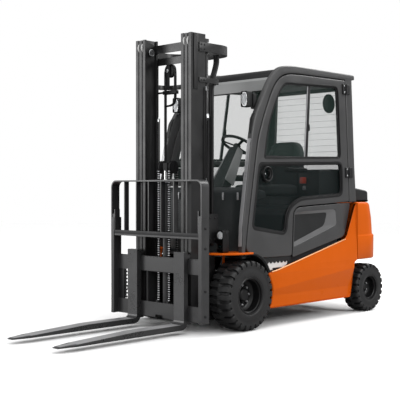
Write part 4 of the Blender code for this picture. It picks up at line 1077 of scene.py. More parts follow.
@dataclass
class Fender(Sided):
    """The arch strip over a front wheel, with its black liner and inner leg."""

    top: tuple = ((0.000, 0.648), (0.045, 0.648), (0.130, 0.620), (0.205, 0.563), (0.262, 0.472))
    under: tuple = ((0.248, 0.468), (0.192, 0.554), (0.122, 0.607), (0.042, 0.632), (0.000, 0.632))
    plan: tuple = (
        (0.378, 0.070), (0.378, -0.285), (0.430, -0.300), (0.520, -0.262), (0.590, -0.170), (0.615, -0.060),
        (0.615, 0.050))

    def build(self) -> None:
        """Makes the strip, the liner below it and the leg."""
        outline = np.concatenate(
            [curve_through(self.top[1:], 6), curve_through(self.under[:-1], 6),
             [self.under[-1], self.top[0]]])
        lip = plate(outline, (0.583, 0.612), DATUM.side_on, 0.004, steps=3)
        self.add(BLACK_PLASTIC, lip, "arch_trim")
        deck = plate(
            filleted(self.plan, [0.004, 0.02, 0.04, 0.05, 0.05, 0.05, 0.03], 5), (0.634, 0.650),
            DATUM.level, 0.006)
        foot = block((0.3755, 0.387), (-0.089, -0.072), (0.520, 0.645), 0.002)
        self.add(ORANGE, all_joined([deck, foot]), "fender_strip", "fender")
        edge = curve_through(
            [(-0.060, 0.634), (0.040, 0.634), (0.121, 0.607), (0.191, 0.554), (0.246, 0.470)], 6)
        liner = plate(
            np.concatenate([edge, edge[::-1] - (0.004, 0.006)]), (0.400, 0.606), DATUM.side_on, 0.001,
            steps=1)
        self.add(BLACK_PLASTIC, liner, "arch_liner")


@dataclass
class StepWell(Sided):
    """The lower step outside a door: a scalloped tread edge on a pale wall."""

    teeth: int = 8

    def build(self) -> None:
        """Makes the wall and the tread edge."""
        wall = plate(
            filleted(
                [(0.262, 0.474), (0.500, 0.500), (0.545, 0.520), (0.545, 0.590), (0.190, 0.590),
                 (0.205, 0.565)], 0.01, 3), (0.500, 0.5585), DATUM.side_on, 0.004)
        self.add(STEP_ALLOY, wall, "step_wall")
        y = np.linspace(0.200, 0.585, self.teeth * 8 + 1)
        wave = 0.560 - 0.020 * np.abs(np.sin(math.pi * (y - 0.200) / (0.385 / self.teeth)))
        outline = np.concatenate([np.stack([y, wave], 1), [(0.585, 0.5895), (0.200, 0.5895)]])
        tread = plate(outline, (0.556, 0.566), DATUM.side_on, 0.001, steps=1)
        self.add(BLACK_STEEL, tread, "step_tread")


@dataclass
class HoodPanel(Sided):
    """The grey side cover of the battery, with a carved recess and a blank badge field."""

    outline: tuple = (
        (0.600, 0.578), (1.384, 0.735), (1.515, 1.020), (1.512, 1.046), (0.715, 1.012), (0.672, 0.994),
        (0.642, 0.958), (0.612, 0.680))
    recess: tuple = ((0.655, 0.974), (1.262, 0.990), (1.274, 0.846), (0.622, 0.668))
    floor: tuple = ((0.662, 0.950), (1.162, 0.962), (1.106, 0.839), (0.634, 0.700))
    sunk: float = 0.026

    def build(self) -> None:
        """Makes the cover, the recess's floor and the raised field."""
        word = self.side.word
        edge = filleted(self.outline, [0.02, 0.05, 0.03, 0.015, 0.03, 0.03, 0.03, 0.05], 6)
        cuts = [0.03, 0.04, 0.04, 0.02]
        hole = filleted(self.recess, cuts, 6)
        skin = plate(edge, (-0.036, 0.0), DATUM.on_cab, 0.003, [hole], 3).mirrored(self.side)
        cover = skin.piece(f"hood_cover_{word}")
        creased(cover, [((1.330, 1.060), (1.388, 0.720))], self.rear_fold, 0.535)
        CAB_GREY.dress(cover, "truck", f"hood_panel_{word}")
        floor = filleted(self.floor, cuts, 6)
        # The recess walls take a paler grey than the cover: painted light on the walls.
        self.add(LIT_RECESS_GREY, self.bowl(hole, floor), "hood_recess")
        field = plate(
            inset(anticlockwise(floor), 0.002), (-self.sunk, -self.sunk + 0.001), DATUM.on_cab, 0.0004,
            steps=1)
        self.add(BLACK_PLASTIC, field, "hood_field")

    @staticmethod
    def rear_fold(y: Array, z: Array) -> Array:
        """The face falls away behind a line that leans backwards down the cover."""
        line = 1.388 - (z - 0.720) * 0.17
        return 0.09 * np.maximum(y - line, 0.0) * (z > 0.55)

    def bowl(self, rim: Array, floor: Array) -> Shape:
        """The recess as a closed tray: rim, slanting walls, floor, and the same again behind."""
        lip = inset(rim[::-1], -0.001)[::-1]
        rings = [
            (lip, -0.003), (inset(rim[::-1], 0.001)[::-1], -0.003), (floor, -self.sunk),
            (floor, -self.sunk - 0.004), (lip, -0.010)]
        points = np.stack(
            [DATUM.on_cab(ring[:, 0], ring[:, 1], np.full(len(ring), deep)) for ring, deep in rings])
        body = grid(points, wrap_rows=True, wrap_columns=True)
        keep = len(rim)
        floor_quads = (body.quads // keep).min(1) == 2
        body.quads = body.quads[~(floor_quads & ((body.quads // keep).max(1) == 3))]
        body.triangles = np.concatenate([fan(keep) + 2 * keep, fan(keep)[:, ::-1] + 3 * keep])
        return body


@dataclass
class Cockpit:
    """What lies inside the cab: cowl, floor, column, steering wheel, seat and lever desk."""

    steering_centre: tuple[float, float] = (0.520, 1.580)
    steering_radius: float = 0.160
    steering_tilt: float = math.radians(30.0)

    def build(self) -> None:
        """Makes every inner piece."""
        cowl = filleted(
            [(0.030, 0.6203), (0.070, 0.6203), (0.080, 1.060), (0.340, 1.095), (0.340, 1.155),
             (0.150, 1.190), (0.075, 1.190), (0.040, 1.150)],
            [0.002, 0.002, 0.03, 0.012, 0.02, 0.03, 0.03, 0.03], 5)
        TEAL_GREY.dress(
            plate(cowl, (-0.490, 0.490), DATUM.side_on, 0.012, steps=4).piece("dash_moulding"), "truck",
            "front_cowl")
        slots = [
            block((x - 0.009, x + 0.009), (0.026, 0.036), (1.082, 1.146), 0.003, 0.004)
            for x in (0.27, 0.44, -0.27, -0.44)]
        SILVER_TRIM_AND_HIGHLIGHT.dress(all_joined(slots).piece("cowl_slots"), "truck")
        consoles = both_sides(block((0.235, 0.470), (1.120, 1.330), (1.105, 1.350), 0.02)).joined(
            block((-0.470, 0.470), (1.325, 1.480), (1.105, 1.362), 0.02))
        TEAL_GREY.dress(consoles.piece("rear_consoles"), "truck")
        soft_edged("floor_plate", BLACK_STEEL, "truck")
        soft_edged("hood_deck", TEAL_GREY, "truck", 0.006)
        soft_edged("steering_column", TEAL_GREY, "truck", 0.008)
        self.column_cheeks()
        self.steering_wheel()
        self.seat()
        self.desk()

    def steering_axes(self) -> tuple[Array, Array]:
        """The directions along the leaning column and across it."""
        sin, cos = math.sin(self.steering_tilt), math.cos(self.steering_tilt)
        return np.array([0.0, sin, cos]), np.array([0.0, cos, -sin])

    def column_cheeks(self) -> None:
        """The pale side covers of the column, which narrow towards the wheel."""
        y, z = self.steering_centre
        head = spot(0.0, y, z)
        along, across = self.steering_axes()


        def on_cheek(a: Array, b: Array, depth: Array) -> Array:
            """Places (distance along the column, distance across it) on the column's leaning side."""
            half = 0.045 - 0.030 * (a + 0.04) / 0.45
            out = (half + depth)[..., None] * np.array([1.0, 0.0, 0.0])
            return head + a[..., None] * along + b[..., None] * across + out

        outline = filleted([(-0.400, -0.060), (-0.400, 0.070), (-0.050, 0.046), (-0.040, -0.030)], 0.02, 5)
        cheek = plate(outline, (-0.002, 0.010), on_cheek, 0.004)
        PALE.dress(both_sides(cheek).piece("column_cheeks"), "truck")

    def steering_wheel(self) -> None:
        """A ring carried round a circle in the tilted plane, three flat spokes, and a hub."""
        y, z = self.steering_centre
        centre = spot(0.0, y, z)
        along, across = self.steering_axes()

        angle = np.linspace(0.0, 2.0 * math.pi, 72, endpoint=False)
        ring_line = centre + (self.steering_radius - 0.014) * (
            np.cos(angle)[:, None] * (1.0, 0.0, 0.0) + np.sin(angle)[:, None] * across)
        ring = swept(ring_line, round_section(0.0135, 14), along, closed=True)
        spokes = []
        for turn in np.radians((90.0, 210.0, 330.0)):
            out = math.cos(turn) * np.array([1.0, 0.0, 0.0]) + math.sin(turn) * across
            path = curve_through(
                [centre - along * 0.016, centre + out * 0.06 - along * 0.012,
                 centre + out * (self.steering_radius - 0.016)], 6)
            spokes.append(swept(path, round_section(1.0, 12) * (0.014, 0.005), along))
        hub = lathe(
            [(-0.0395, 0), (-0.0395, 0.030), (-0.036, 0.033), (-0.010, 0.033), (-0.002, 0.029),
             (0.005, 0.018), (0.006, 0)], centre, along, 36)
        BLACK_PLASTIC.dress(
            all_joined([ring, hub, *spokes]).piece("steering_ring"), "steering_wheel", "steering_wheel")

    def seat(self) -> None:
        """The padded cushion and back, each a crowned form with sewn channels, and the belt buckle and arm
        rest.
        """
        cushion = self.pad(spot(0.0, 0.920, 1.166), (0.240, 0.228, 0.056), self.cushion_relief)
        CLOTH.dress(cushion.piece("seat_cushion_pad"), "truck", "seat_cushion")
        back = self.pad(spot(0.0, 0.0, 0.0), (0.200, 0.058, 0.258), self.back_relief)
        lean = (back.corners[:, 2] + 0.258) / 0.516
        back.corners = back.corners - spot(0, 0, 0) + spot(0.0, 1.212, 1.370)
        back.corners[:, 1] += 0.045 * (lean - 0.5)
        pad = back.piece("seat_back_pad")
        CLOTH.dress(pad, "truck", "seat_back")
        buckle = block((0.295, 0.325), (1.060, 1.125), (1.225, 1.285), 0.008)
        RED.dress(buckle.piece("belt_buckle"), "truck")
        catch = block((0.300, 0.322), (1.095, 1.135), (1.165, 1.205), 0.005)
        SILVER_TRIM_AND_HIGHLIGHT.dress(catch.piece("belt_catch"), "truck")
        rest = all_joined(
            [block((0.235, 0.290), (0.900, 1.180), (1.330, 1.375), 0.014),
             block((0.245, 0.280), (1.140, 1.190), (1.180, 1.350), 0.008)])
        BLACK_PLASTIC.dress(rest.piece("arm_rest"), "truck")

    def pad(self, centre: Array, half: tuple[float, float, float], relief: Callable) -> Shape:
        """A crowned box: each axis is half * sign(s) |s|^0.38 of a sphere's point s, less the sewn relief."""
        around = np.linspace(0.0, 2.0 * math.pi, 120, endpoint=False)
        up = np.linspace(-math.pi / 2.0, math.pi / 2.0, 90)
        sphere = np.stack(
            [np.cos(up)[:, None] * np.cos(around), np.cos(up)[:, None] * np.sin(around),
             np.broadcast_to(np.sin(up)[:, None], (90, 120))], -1)
        spread = np.sign(sphere) * np.abs(sphere) ** 0.38
        local = relief(spread, np.array(half))
        return grid(local + centre, wrap_columns=True)

    @staticmethod
    def sewn(across: Array, rows: Array, edge: float, sunk: float) -> Array:
        """How deep the padding sinks between its bolsters, and further in its channels and seams.

        Args:
            across: The place across the pad, from -1 to 1.
            rows: The place between two channels, which run where it is 0.5.
            edge: Where the bolsters start.
            sunk: How far the middle lies below the bolsters.

        Returns:
            The depth at each point.
        """
        bolster = 0.5 + 0.5 * np.tanh((np.abs(across) - edge) * 12.0)
        channel = np.exp(-((rows - 0.5) / 0.09) ** 2) * (1.0 - bolster)
        seam = np.exp(-((np.abs(across) - edge) / 0.03) ** 2)
        return sunk * (1.0 - bolster) + 0.006 * channel + 0.007 * seam

    def cushion_relief(self, spread: Array, half: Array) -> Array:
        """Side bolsters rise at the edges, and cross channels sink into the top."""
        local = spread * half
        rows = np.mod(spread[..., 1] * 3.0 + 0.5, 1.0)
        local[..., 2] -= np.clip(spread[..., 2], 0.0, 1.0) * self.sewn(spread[..., 0], rows, 0.62, 0.016)
        return local

    def back_relief(self, spread: Array, half: Array) -> Array:
        """Bolsters stand forward at both sides, and slanting channels meet in a V in the middle."""
        local = spread * half
        across, high = spread[..., 0], spread[..., 2]
        local[..., 0] *= 1.0 - 0.16 * np.clip((high - 0.2) / 0.8, 0.0, 1.0) ** 2
        rows = np.mod((high + 0.55 * np.abs(across)) * 3.2, 1.0)
        local[..., 1] += np.clip(-spread[..., 1], 0.0, 1.0) * self.sewn(across, rows, 0.60, 0.020)
        return local

    def desk(self) -> None:
        """The lever desk beside the seat: a moulded block with four finger levers."""
        body = block((-0.330, -0.250), (0.720, 1.060), (1.250, 1.310), 0.014)
        stem = block((-0.320, -0.262), (1.020, 1.060), (1.050, 1.270), 0.010)
        levers = [
            tube(line((x, 0.780, 1.305), (x, 0.775, 1.330), (x, 0.760, 1.350)), 0.0045, (1, 0, 0), 8)
            for x in (-0.315, -0.300, -0.285, -0.270)]
        BLACK_PLASTIC.dress(all_joined([body, stem, *levers]).piece("lever_desk"), "truck")


# ---------------------------------------------------------------- cab


@dataclass
class Door(Sided):
    """A glazed door: a round-edged leaf, rubber seals, a sliding-window divider, handle and hinges."""

    thickness: float = 0.040
    edge: tuple = (
        (-0.010, 0.662), (0.030, 0.876), (0.112, 1.240), (0.195, 1.611), (0.292, 1.827), (0.380, 1.990),
        (0.445, 2.085), (0.520, 2.150), (0.620, 2.186), (0.760, 2.196), (1.485, 2.204), (1.485, 1.056),
        (0.712, 1.023), (0.664, 1.003), (0.632, 0.962), (0.602, 0.680), (0.592, 0.590), (0.200, 0.594),
        (0.080, 0.618))
    upper: tuple = (
        (0.262, 1.436), (0.330, 1.728), (0.470, 1.990), (0.545, 2.082), (0.600, 2.110), (1.366, 2.136),
        (1.371, 1.464))
    lower: tuple = (
        (0.205, 1.385), (1.376, 1.416), (1.372, 1.125), (0.745, 1.092), (0.600, 1.030), (0.540, 0.940),
        (0.516, 0.790), (0.088, 0.852))

    def build(self) -> None:
        """Makes the leaf and everything mounted on it."""
        upper = filleted(self.upper, [0.030, 0.20, 0.15, 0.05, 0.05, 0.06, 0.05], 6)
        lower = filleted(self.lower, [0.030, 0.05, 0.06, 0.06, 0.08, 0.06, 0.06, 0.04], 6)
        outline = filleted(
            self.edge,
            [0.05, 0.2, 0.3, 0.12, 0.1, 0.06, 0.06, 0.06, 0.06, 0.06, 0.02, 0.02, 0.03, 0.03, 0.03, 0.05,
             0.03, 0.06, 0.06], 5)
        leaf = plate(outline, (-self.thickness, 0.0), DATUM.on_cab, 0.009, [upper, lower], 4)
        self.add(CAB_GREY, leaf, "door_leaf", "door")
        self.add(BLACK_STEEL, self.hinges(), "door_hinges")
        seals = [
            self.seal(upper, 0.016), self.seal(lower, 0.013), self.border(upper, 0.007),
            self.border(lower, 0.020)]
        self.add(SEAL, all_joined(seals), "window_seals")
        self.dividers()
        self.handle()
        self.hinge_bolts()
        for level, window, finish in (("upper", upper, GLASS), ("lower", lower, DARK_GLASS)):
            pane = plate(
                inset(anticlockwise(window), -0.004), (-0.026, -0.020), DATUM.on_cab, 0.001, steps=1)
            self.add(finish, pane, f"door_pane_{level}", f"door_glass_{level}")

    @property
    def body(self) -> str:
        """The body that turns on the door's hinges."""
        return f"door_{self.side.word}"

    def seal(self, window: Array, width: float) -> Shape:
        """A rubber strip that follows a window's edge, just inside the opening."""
        line = anticlockwise(window)
        return plate(inset(line, -0.001), (-0.0185, -0.006), DATUM.on_cab, 0.003, [inset(line, width)], 2)

    def border(self, window: Array, width: float) -> Shape:
        """The flat black edging on the leaf's face round a window."""
        line = anticlockwise(window)
        return plate(inset(line, -width), (-0.012, 0.0012), DATUM.on_cab, 0.001, [inset(line, 0.002)], 1)

    def hinges(self) -> Shape:
        """Both hinge leaves and their round knuckles, up to the pins."""
        parts = []
        for height in HINGE_HEIGHTS:
            leaf = plate(
                rectangle(
                    (HINGE_Y - 0.058, HINGE_Y - 0.012), (height - HINGE_HALF, height + HINGE_HALF), 0.008),
                (-0.006, HINGE_OUT), DATUM.on_cab, 0.003)
            arm = plate(
                rectangle((HINGE_Y - 0.020, HINGE_Y), (height + 0.003, height + 0.046)),
                (0.004, HINGE_OUT - 0.001), DATUM.on_cab, 0.001)
            out = DATUM.cab_x(height) + HINGE_OUT
            knuckle = lathe(
                [(0.001, 0.0056), (0.001, 0.008), (0.002, 0.009), (0.047, 0.009), (0.048, 0.008),
                 (0.048, 0.0056), (0.001, 0.0056)], spot(out, HINGE_Y, height), (-DATUM.lean, 0, 1), 20)
            parts += [leaf, arm, knuckle]
        return all_joined(parts)

    def dividers(self) -> None:
        """The upright bar where the sliding pane meets the fixed one, its pale edge and its catch."""
        bar_shape = plate(
            np.array([(0.846, 1.450), (0.874, 1.450), (0.958, 2.122), (0.930, 2.122)]), (-0.0195, -0.008),
            DATUM.on_cab, 0.003)
        catch = plate(
            rectangle((0.902, 0.920), (1.700, 1.760), 0.006), (-0.0195, -0.004), DATUM.on_cab, 0.003)
        rail = plate(rectangle((0.300, 1.365), (1.448, 1.462)), (-0.0195, -0.010), DATUM.on_cab, 0.002)
        self.add(SEAL, all_joined([bar_shape, catch, rail]), "window_divider")
        line = plate(
            np.array([(0.832, 1.462), (0.844, 1.462), (0.928, 2.118), (0.916, 2.118)]), (-0.0195, -0.012),
            DATUM.on_cab, 0.001)
        self.add(SILVER_TRIM_AND_HIGHLIGHT, line, "divider_edge")

    def handle(self) -> None:
        """A round cup with a grip across it, near the front of the leaf."""
        centre = (0.302, 1.304)
        out = DATUM.cab_x(centre[1])
        cup = lathe(
            [(-0.030, 0.0), (-0.030, 0.040), (-0.010, 0.050), (0.000, 0.056), (0.004, 0.058),
             (0.005, 0.061), (0.003, 0.064), (-0.016, 0.066), (-0.032, 0.060), (-0.032, 0.0)],
            spot(out, *centre), (1, 0, DATUM.lean), 48)
        self.add(BLACK_PLASTIC, cup, "handle_cup")
        angle = np.linspace(-0.35 * math.pi, 0.35 * math.pi, 17)
        outer = np.stack([centre[0] + 0.042 * np.cos(angle), centre[1] + 0.042 * np.sin(angle)], 1)
        inner = np.stack([centre[0] - 0.012 + 0.040 * np.cos(angle), centre[1] + 0.036 * np.sin(angle)], 1)
        grip = plate(np.concatenate([outer, inner[::-1]]), (-0.012, 0.002), DATUM.on_cab, 0.003)
        self.add(SEAL, grip, "handle_grip")
        lock = bolt_head(spot(out + 0.003, centre[0] - 0.040, centre[1]), 0.007, 0.004, 16)
        self.add(ZINC, lock, "door_lock")

    def hinge_bolts(self) -> None:
        """The small bolts of the hinge leaves."""
        bolts = []
        for height in HINGE_HEIGHTS:
            for shift in (-0.030, 0.030):
                place = spot(
                    DATUM.cab_x(height + shift) + HINGE_OUT - 0.001, HINGE_Y - 0.036, height + shift)
                bolts.append(
                    lathe(
                        [(0, 0), (0, 0.0075), (0.003, 0.0075), (0.005, 0.005), (0.005, 0)], place,
                        sides=12))
        self.add(ZINC, all_joined(bolts), "hinge_bolts")


@dataclass
class CabArch(Sided):
    """The bent frame round a door, with its hinge pins, a pale strip painted as a highlight up its front, and
    latch bracket.
    """

    outer: tuple = (
        (-0.062, 0.6203), (-0.048, 0.760), (-0.042, 0.878), (0.028, 1.240), (0.103, 1.616), (0.156, 1.792),
        (0.301, 2.014), (0.372, 2.122), (0.450, 2.200), (0.540, 2.252), (0.700, 2.270), (1.645, 2.270),
        (1.645, 2.222), (1.600, 2.215), (1.596, 1.400), (1.604, 1.0503), (1.493, 1.0503))
    inner: tuple = (
        (1.493, 2.212), (0.758, 2.204), (0.617, 2.194), (0.515, 2.157), (0.438, 2.090), (0.373, 1.994),
        (0.285, 1.831), (0.187, 1.613), (0.104, 1.242), (0.022, 0.878), (-0.018, 0.662), (-0.022, 0.6203))

    def build(self) -> None:
        """Makes the arch and its fittings."""
        cuts = [
            0.003, 0.05, 0.05, 0.1, 0.08, 0.08, 0.08, 0.06, 0.06, 0.07, 0.08, 0.03, 0.01, 0.01, 0.05, 0.005,
            0.003, 0.02, 0.05, 0.06, 0.05, 0.05, 0.05, 0.08, 0.1, 0.1, 0.1, 0.05, 0.003]
        outline = filleted([*self.outer, *self.inner], cuts, 5)
        arch = plate(outline, (-0.050, 0.0), DATUM.on_cab, 0.011, steps=4)
        parts = []
        for height in HINGE_HEIGHTS:
            leaf = plate(
                rectangle((1.500, 1.545), (height - HINGE_HALF, height + HINGE_HALF), 0.008),
                (-0.006, HINGE_OUT), DATUM.on_cab, 0.003)
            arm = plate(
                rectangle((HINGE_Y, 1.505), (height - 0.047, height - 0.002)), (0.004, HINGE_OUT - 0.001),
                DATUM.on_cab, 0.001)
            out = DATUM.cab_x(height) + HINGE_OUT
            low = spot(out + HINGE_HALF * DATUM.lean, HINGE_Y, height - HINGE_HALF)
            knuckle = bar(low, spot(out, HINGE_Y, height), 0.009, 20)
            pin = bar(
                spot(out, HINGE_Y, height - 0.010),
                spot(out - HINGE_HALF * DATUM.lean, HINGE_Y, height + 0.047), 0.005, 16)
            parts += [leaf, arm, knuckle, pin]
        self.add(CAB_GREY, arch, "cab_arch", "cab_side")
        self.add(BLACK_STEEL, all_joined(parts), "pillar_hinges")
        self.pillar_highlight()

    def pillar_highlight(self) -> None:
        """A pale strip up the front face of the pillar, a painted highlight where the rounded front catches
        the light, and the dark bracket at its head.
        """
        # The strip is a painted highlight, not a part of the pillar.
        path = [(-0.0605, 0.700), (-0.049, 0.800), (-0.0405, 0.890), (0.028, 1.240), (0.100, 1.600)]
        middle_line = curve_through([(DATUM.cab_x(z) - 0.025, y - 0.0005, z) for y, z in path], 8)
        middle_line = middle_line + (0.0, DATUM.axle_y, 0.0)
        strip = swept(middle_line, rectangle((-0.018, 0.018), (-0.001, 0.0012), 0.001), (0, 1, 0))
        self.add(SILVER_TRIM_AND_HIGHLIGHT, strip, "pillar_strip")
        bracket = plate(
            filleted(
                [(0.110, 1.640), (0.128, 1.636), (0.160, 1.760), (0.190, 1.810), (0.170, 1.820),
                 (0.138, 1.770)], 0.006, 3), (-0.044, -0.008), DATUM.on_cab, 0.003)
        self.add(BLACK_PLASTIC, bracket, "pillar_bracket")


@dataclass
class Lamp(Sided):
    """A lamp with a bright bowl behind a lens."""

    def face(self, kind: str, centre: Array, half_width: float, half_height: float) -> None:
        """Makes a reflector bowl, a clear lens that bulges forwards, and a bulb.

        All are turned forms stretched to an oval: x = half_width cos t, z = half_height sin t.

        Args:
            kind: The lamp's word in the pieces' names.
            centre: The middle of the lens's rim, drawn for the left.
            half_width: The lens's half width.
            half_height: The lens's half height.
        """
        bowl = [
            (0.036, 0.0), (0.034, 0.25), (0.026, 0.55), (0.012, 0.85), (0.001, 0.98), (0.001, 0.95),
            (0.014, 0.80), (0.030, 0.50), (0.039, 0.0)]
        lens = [
            (-0.004, 0.0), (-0.0035, 0.40), (-0.001, 0.80), (0.002, 0.99), (0.005, 0.99), (0.003, 0.78),
            (0.001, 0.38), (0.0005, 0.0)]
        bulb = [(0.008, 0.0), (0.010, 0.10), (0.018, 0.14), (0.036, 0.13), (0.036, 0.0)]
        for profile, part, finish, sides in (
                (bowl, "reflector", CHROME, 40), (lens, "lens", LENS, 40), (bulb, "bulb", PALE, 20)):
            shape = lathe(profile, (0, 0, 0), (0, 1, 0), sides)
            shape.corners = shape.corners * (half_width, 1.0, half_height) + centre
            self.add(finish, shape, f"{part}_{kind}")


@dataclass
class WorkLamp(Lamp):
    """A square lamp on a swivel bracket at the head of a front pillar."""

    def build(self) -> None:
        """Makes the housing, the reflector, the lens and the bracket."""
        low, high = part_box(f"work_lamp_{self.side.word}")
        left, right = (abs(low.x), abs(high.x)) if self.side is Side.LEFT else (abs(high.x), abs(low.x))
        lamp_out = right - 0.0095
        x = (left, lamp_out)
        shell = plate(
            rectangle(x, (1.872, 2.008), 0.014), (0.133, 0.200), DATUM.across, 0.004,
            [rectangle((x[0] + 0.007, x[1] - 0.007), (1.882, 1.998), 0.012)], 3)
        back = block((x[0] + 0.005, x[1] - 0.005), (0.196, 0.234), (1.885, 1.995), 0.012, 0.014)
        ribs = [
            block((x[0] + 0.010, x[1] - 0.010), (0.228, 0.2345), (z, z + 0.004), 0.001)
            for z in np.linspace(1.900, 1.975, 6)]
        arm = block((x[1] - 0.020, right - 0.0003), (0.203, 0.243), (1.858, 1.990), 0.006)
        self.add(BLACK_PLASTIC, all_joined([shell, back, arm, *ribs]), "lamp_shell", "work_lamp")
        self.face("work", spot(sum(x) / 2.0, 0.137, 1.940), 0.030, 0.061)


@dataclass
class Headlight(Lamp):
    """A round lamp over a turn lamp, in a tall black box on the fender."""

    def build(self) -> None:
        """Makes the box with its round opening, the reflector and the turn lamp below."""
        angle = np.linspace(0.0, 2.0 * math.pi, 40, endpoint=False)
        ring = np.stack([0.460 + 0.0335 * np.cos(angle), 0.795 + 0.0335 * np.sin(angle)], 1)
        small = filleted([(0.432, 0.685), (0.488, 0.685), (0.488, 0.722), (0.432, 0.722)], 0.008, 4)
        face = plate(
            rectangle((0.422, 0.498), (0.652, 0.838), 0.016), (-0.213, -0.170), DATUM.across, 0.005,
            [ring, small], 3)
        back = block((0.424, 0.496), (-0.176, -0.132), (0.6515, 0.836), 0.014, 0.014)
        self.add(SEAL, face.joined(back), "headlight_box", "headlight")
        self.face("head", spot(0.460, -0.209, 0.795), 0.033, 0.033)
        turn = block((0.434, 0.486), (-0.208, -0.180), (0.687, 0.720), 0.004, 0.006)
        self.add(DARK_GLASS, turn, "turn_lens")


@dataclass
class Roof:
    """The roof skin, the pale header over the windscreen, the lining and the glass."""

    inner: float = 0.449

    def build(self) -> None:
        """Makes every piece over and round the cab's ends."""
        outline = filleted(
            [(0.410, 2.031), (0.455, 2.031), (0.500, 2.120), (0.640, 2.190), (1.645, 2.215), (1.645, 2.250),
             (0.660, 2.250), (0.540, 2.225), (0.470, 2.190), (0.425, 2.130)],
            [0.006, 0.006, 0.05, 0.08, 0.008, 0.02, 0.08, 0.06, 0.06, 0.05], 6)
        ROOF_BLACK.dress(
            plate(outline, (-self.inner, self.inner), DATUM.side_on, 0.004).piece("roof_skin"), "truck",
            "roof_panel")
        header = filleted(
            [(0.4115, 2.034), (0.4065, 2.037), (0.419, 2.128), (0.440, 2.152), (0.446, 2.147)], 0.006, 4)
        PALE.dress(plate(header, (-0.430, 0.430), DATUM.side_on, 0.002).piece("windscreen_header"), "truck")
        ribs = [
            plate(
                filleted([(0.700, 2.248), (1.560, 2.248), (1.560, 2.2545), (0.700, 2.2545)], 0.008, 4),
                (x - 0.045, x + 0.045), DATUM.side_on, 0.005) for x in (-0.30, -0.10, 0.10, 0.30)]
        ROOF_BLACK.dress(all_joined(ribs).piece("roof_ribs"), "truck")
        lining = filleted([(0.620, 2.120), (1.540, 2.150), (1.540, 2.205), (0.640, 2.183)], 0.012, 4)
        BLACK_PLASTIC.dress(
            plate(lining, (-0.430, 0.430), DATUM.side_on, 0.008).piece("roof_lining"), "truck")
        carried("windscreen", CLEAR_GLASS)
        carried("rear_window", GLASS)
        soft_edged("rear_frame", CAB_GREY, "truck", 0.006)
        self.wiper()
        self.heating()
        mirror = lathe(
            [(0, 0), (0, 0.9), (0.006, 1.0), (0.022, 1.0), (0.028, 0.92), (0.028, 0)], (0, 0, 0), (1, 0, 0),
            40)
        mirror.corners = mirror.corners * (1.0, 0.085, 0.090) + spot(0.380, 1.375, 1.985)
        BLACK_PLASTIC.dress(mirror.piece("speaker_pad"), "truck")

    def wiper(self) -> None:
        """A blade and arm that lie on the leaning windscreen."""

        def on_glass(x: float, z: float, off: float) -> Array:
            """A point off the leaning glass, at a height."""
            y = 0.105 + (z - 1.190) * (0.416 - 0.105) / (2.030 - 1.190)
            return spot(x, y - off, z)

        arm = tube(
            [on_glass(0.0, 1.215, 0.018), on_glass(-0.06, 1.40, 0.026), on_glass(-0.16, 1.62, 0.022)],
            0.005, (0, 1, 0), 10)
        blade = tube(
            [on_glass(-0.05, 1.36, 0.008), on_glass(-0.155, 1.62, 0.010), on_glass(-0.26, 1.88, 0.008)],
            0.005, (0, 1, 0), 10)
        motor = lathe(
            [(-0.006, 0.0), (-0.006, 0.014), (0.0, 0.018), (0.022, 0.018), (0.022, 0.0)],
            on_glass(0.0, 1.215, 0.022), (0, 1, 0.35), 20)
        BLACK_STEEL.dress(all_joined([arm, blade, motor]).piece("wiper"), "truck")

    def heating(self) -> None:
        """The fine level wires of the rear window."""
        wires = []
        for z in np.linspace(1.300, 2.080, 14):
            half = DATUM.cab_x(z) - 0.050 - 0.075
            wires.append(block((-half, half), (1.5685, 1.5697), (z - 0.0015, z + 0.0015), 0.0005))
        SILVER_TRIM_AND_HIGHLIGHT.dress(all_joined(wires).piece("heating_wires"), "truck")


# ---------------------------------------------------------------- mast


def leaf_chain(x: float, y: float, low: float, high: float) -> tuple[Shape, Shape]:
    """A strand of leaf chain: packs of long oval plates, and the bright link ends round each pin.

    Args:
        x: The strand's middle.
        y: The strand's place behind the front axle.
        low: The lowest pin's height.
        high: The highest pin's height.

    Returns:
        The plates and the link ends.
    """
    pitch = 0.0190
    count = int((high - low) / pitch)
    angle = np.linspace(0.0, 2.0 * math.pi, 12, endpoint=False)
    oval = np.stack(
        [0.0065 * np.cos(angle), 0.0062 * np.sin(angle) + np.sign(np.sin(angle)) * pitch / 2.0], 1)
    oval[np.isclose(np.sin(angle), 0.0), 1] = 0.0
    oval[:, 0] *= np.where(np.isclose(np.sin(angle), 0.0), 0.84, 1.0)

    def thin(offset: float) -> Shape:
        """One plate, at an offset across the strand."""
        return plate(oval * (0.82, 1.0), (offset - 0.0010, offset + 0.0010), DATUM.side_on, 0.0002, steps=1)

    plates = all_joined([thin(offset) for offset in (-0.0088, -0.0044, 0.0, 0.0044, 0.0088)])
    band = bar(spot(-0.0108, 0.0, 0.0), spot(0.0108, 0.0, 0.0), 0.0052, 10, 0.0010)
    heights = low + np.arange(count) * pitch

    def shifts(values: Array) -> Array:
        """The places of copies at the given heights."""
        return np.stack([np.full(len(values), x), np.full(len(values), y), values], 1)

    return plates.repeated(shifts(heights[:-1] + pitch / 2.0)), band.repeated(shifts(heights))


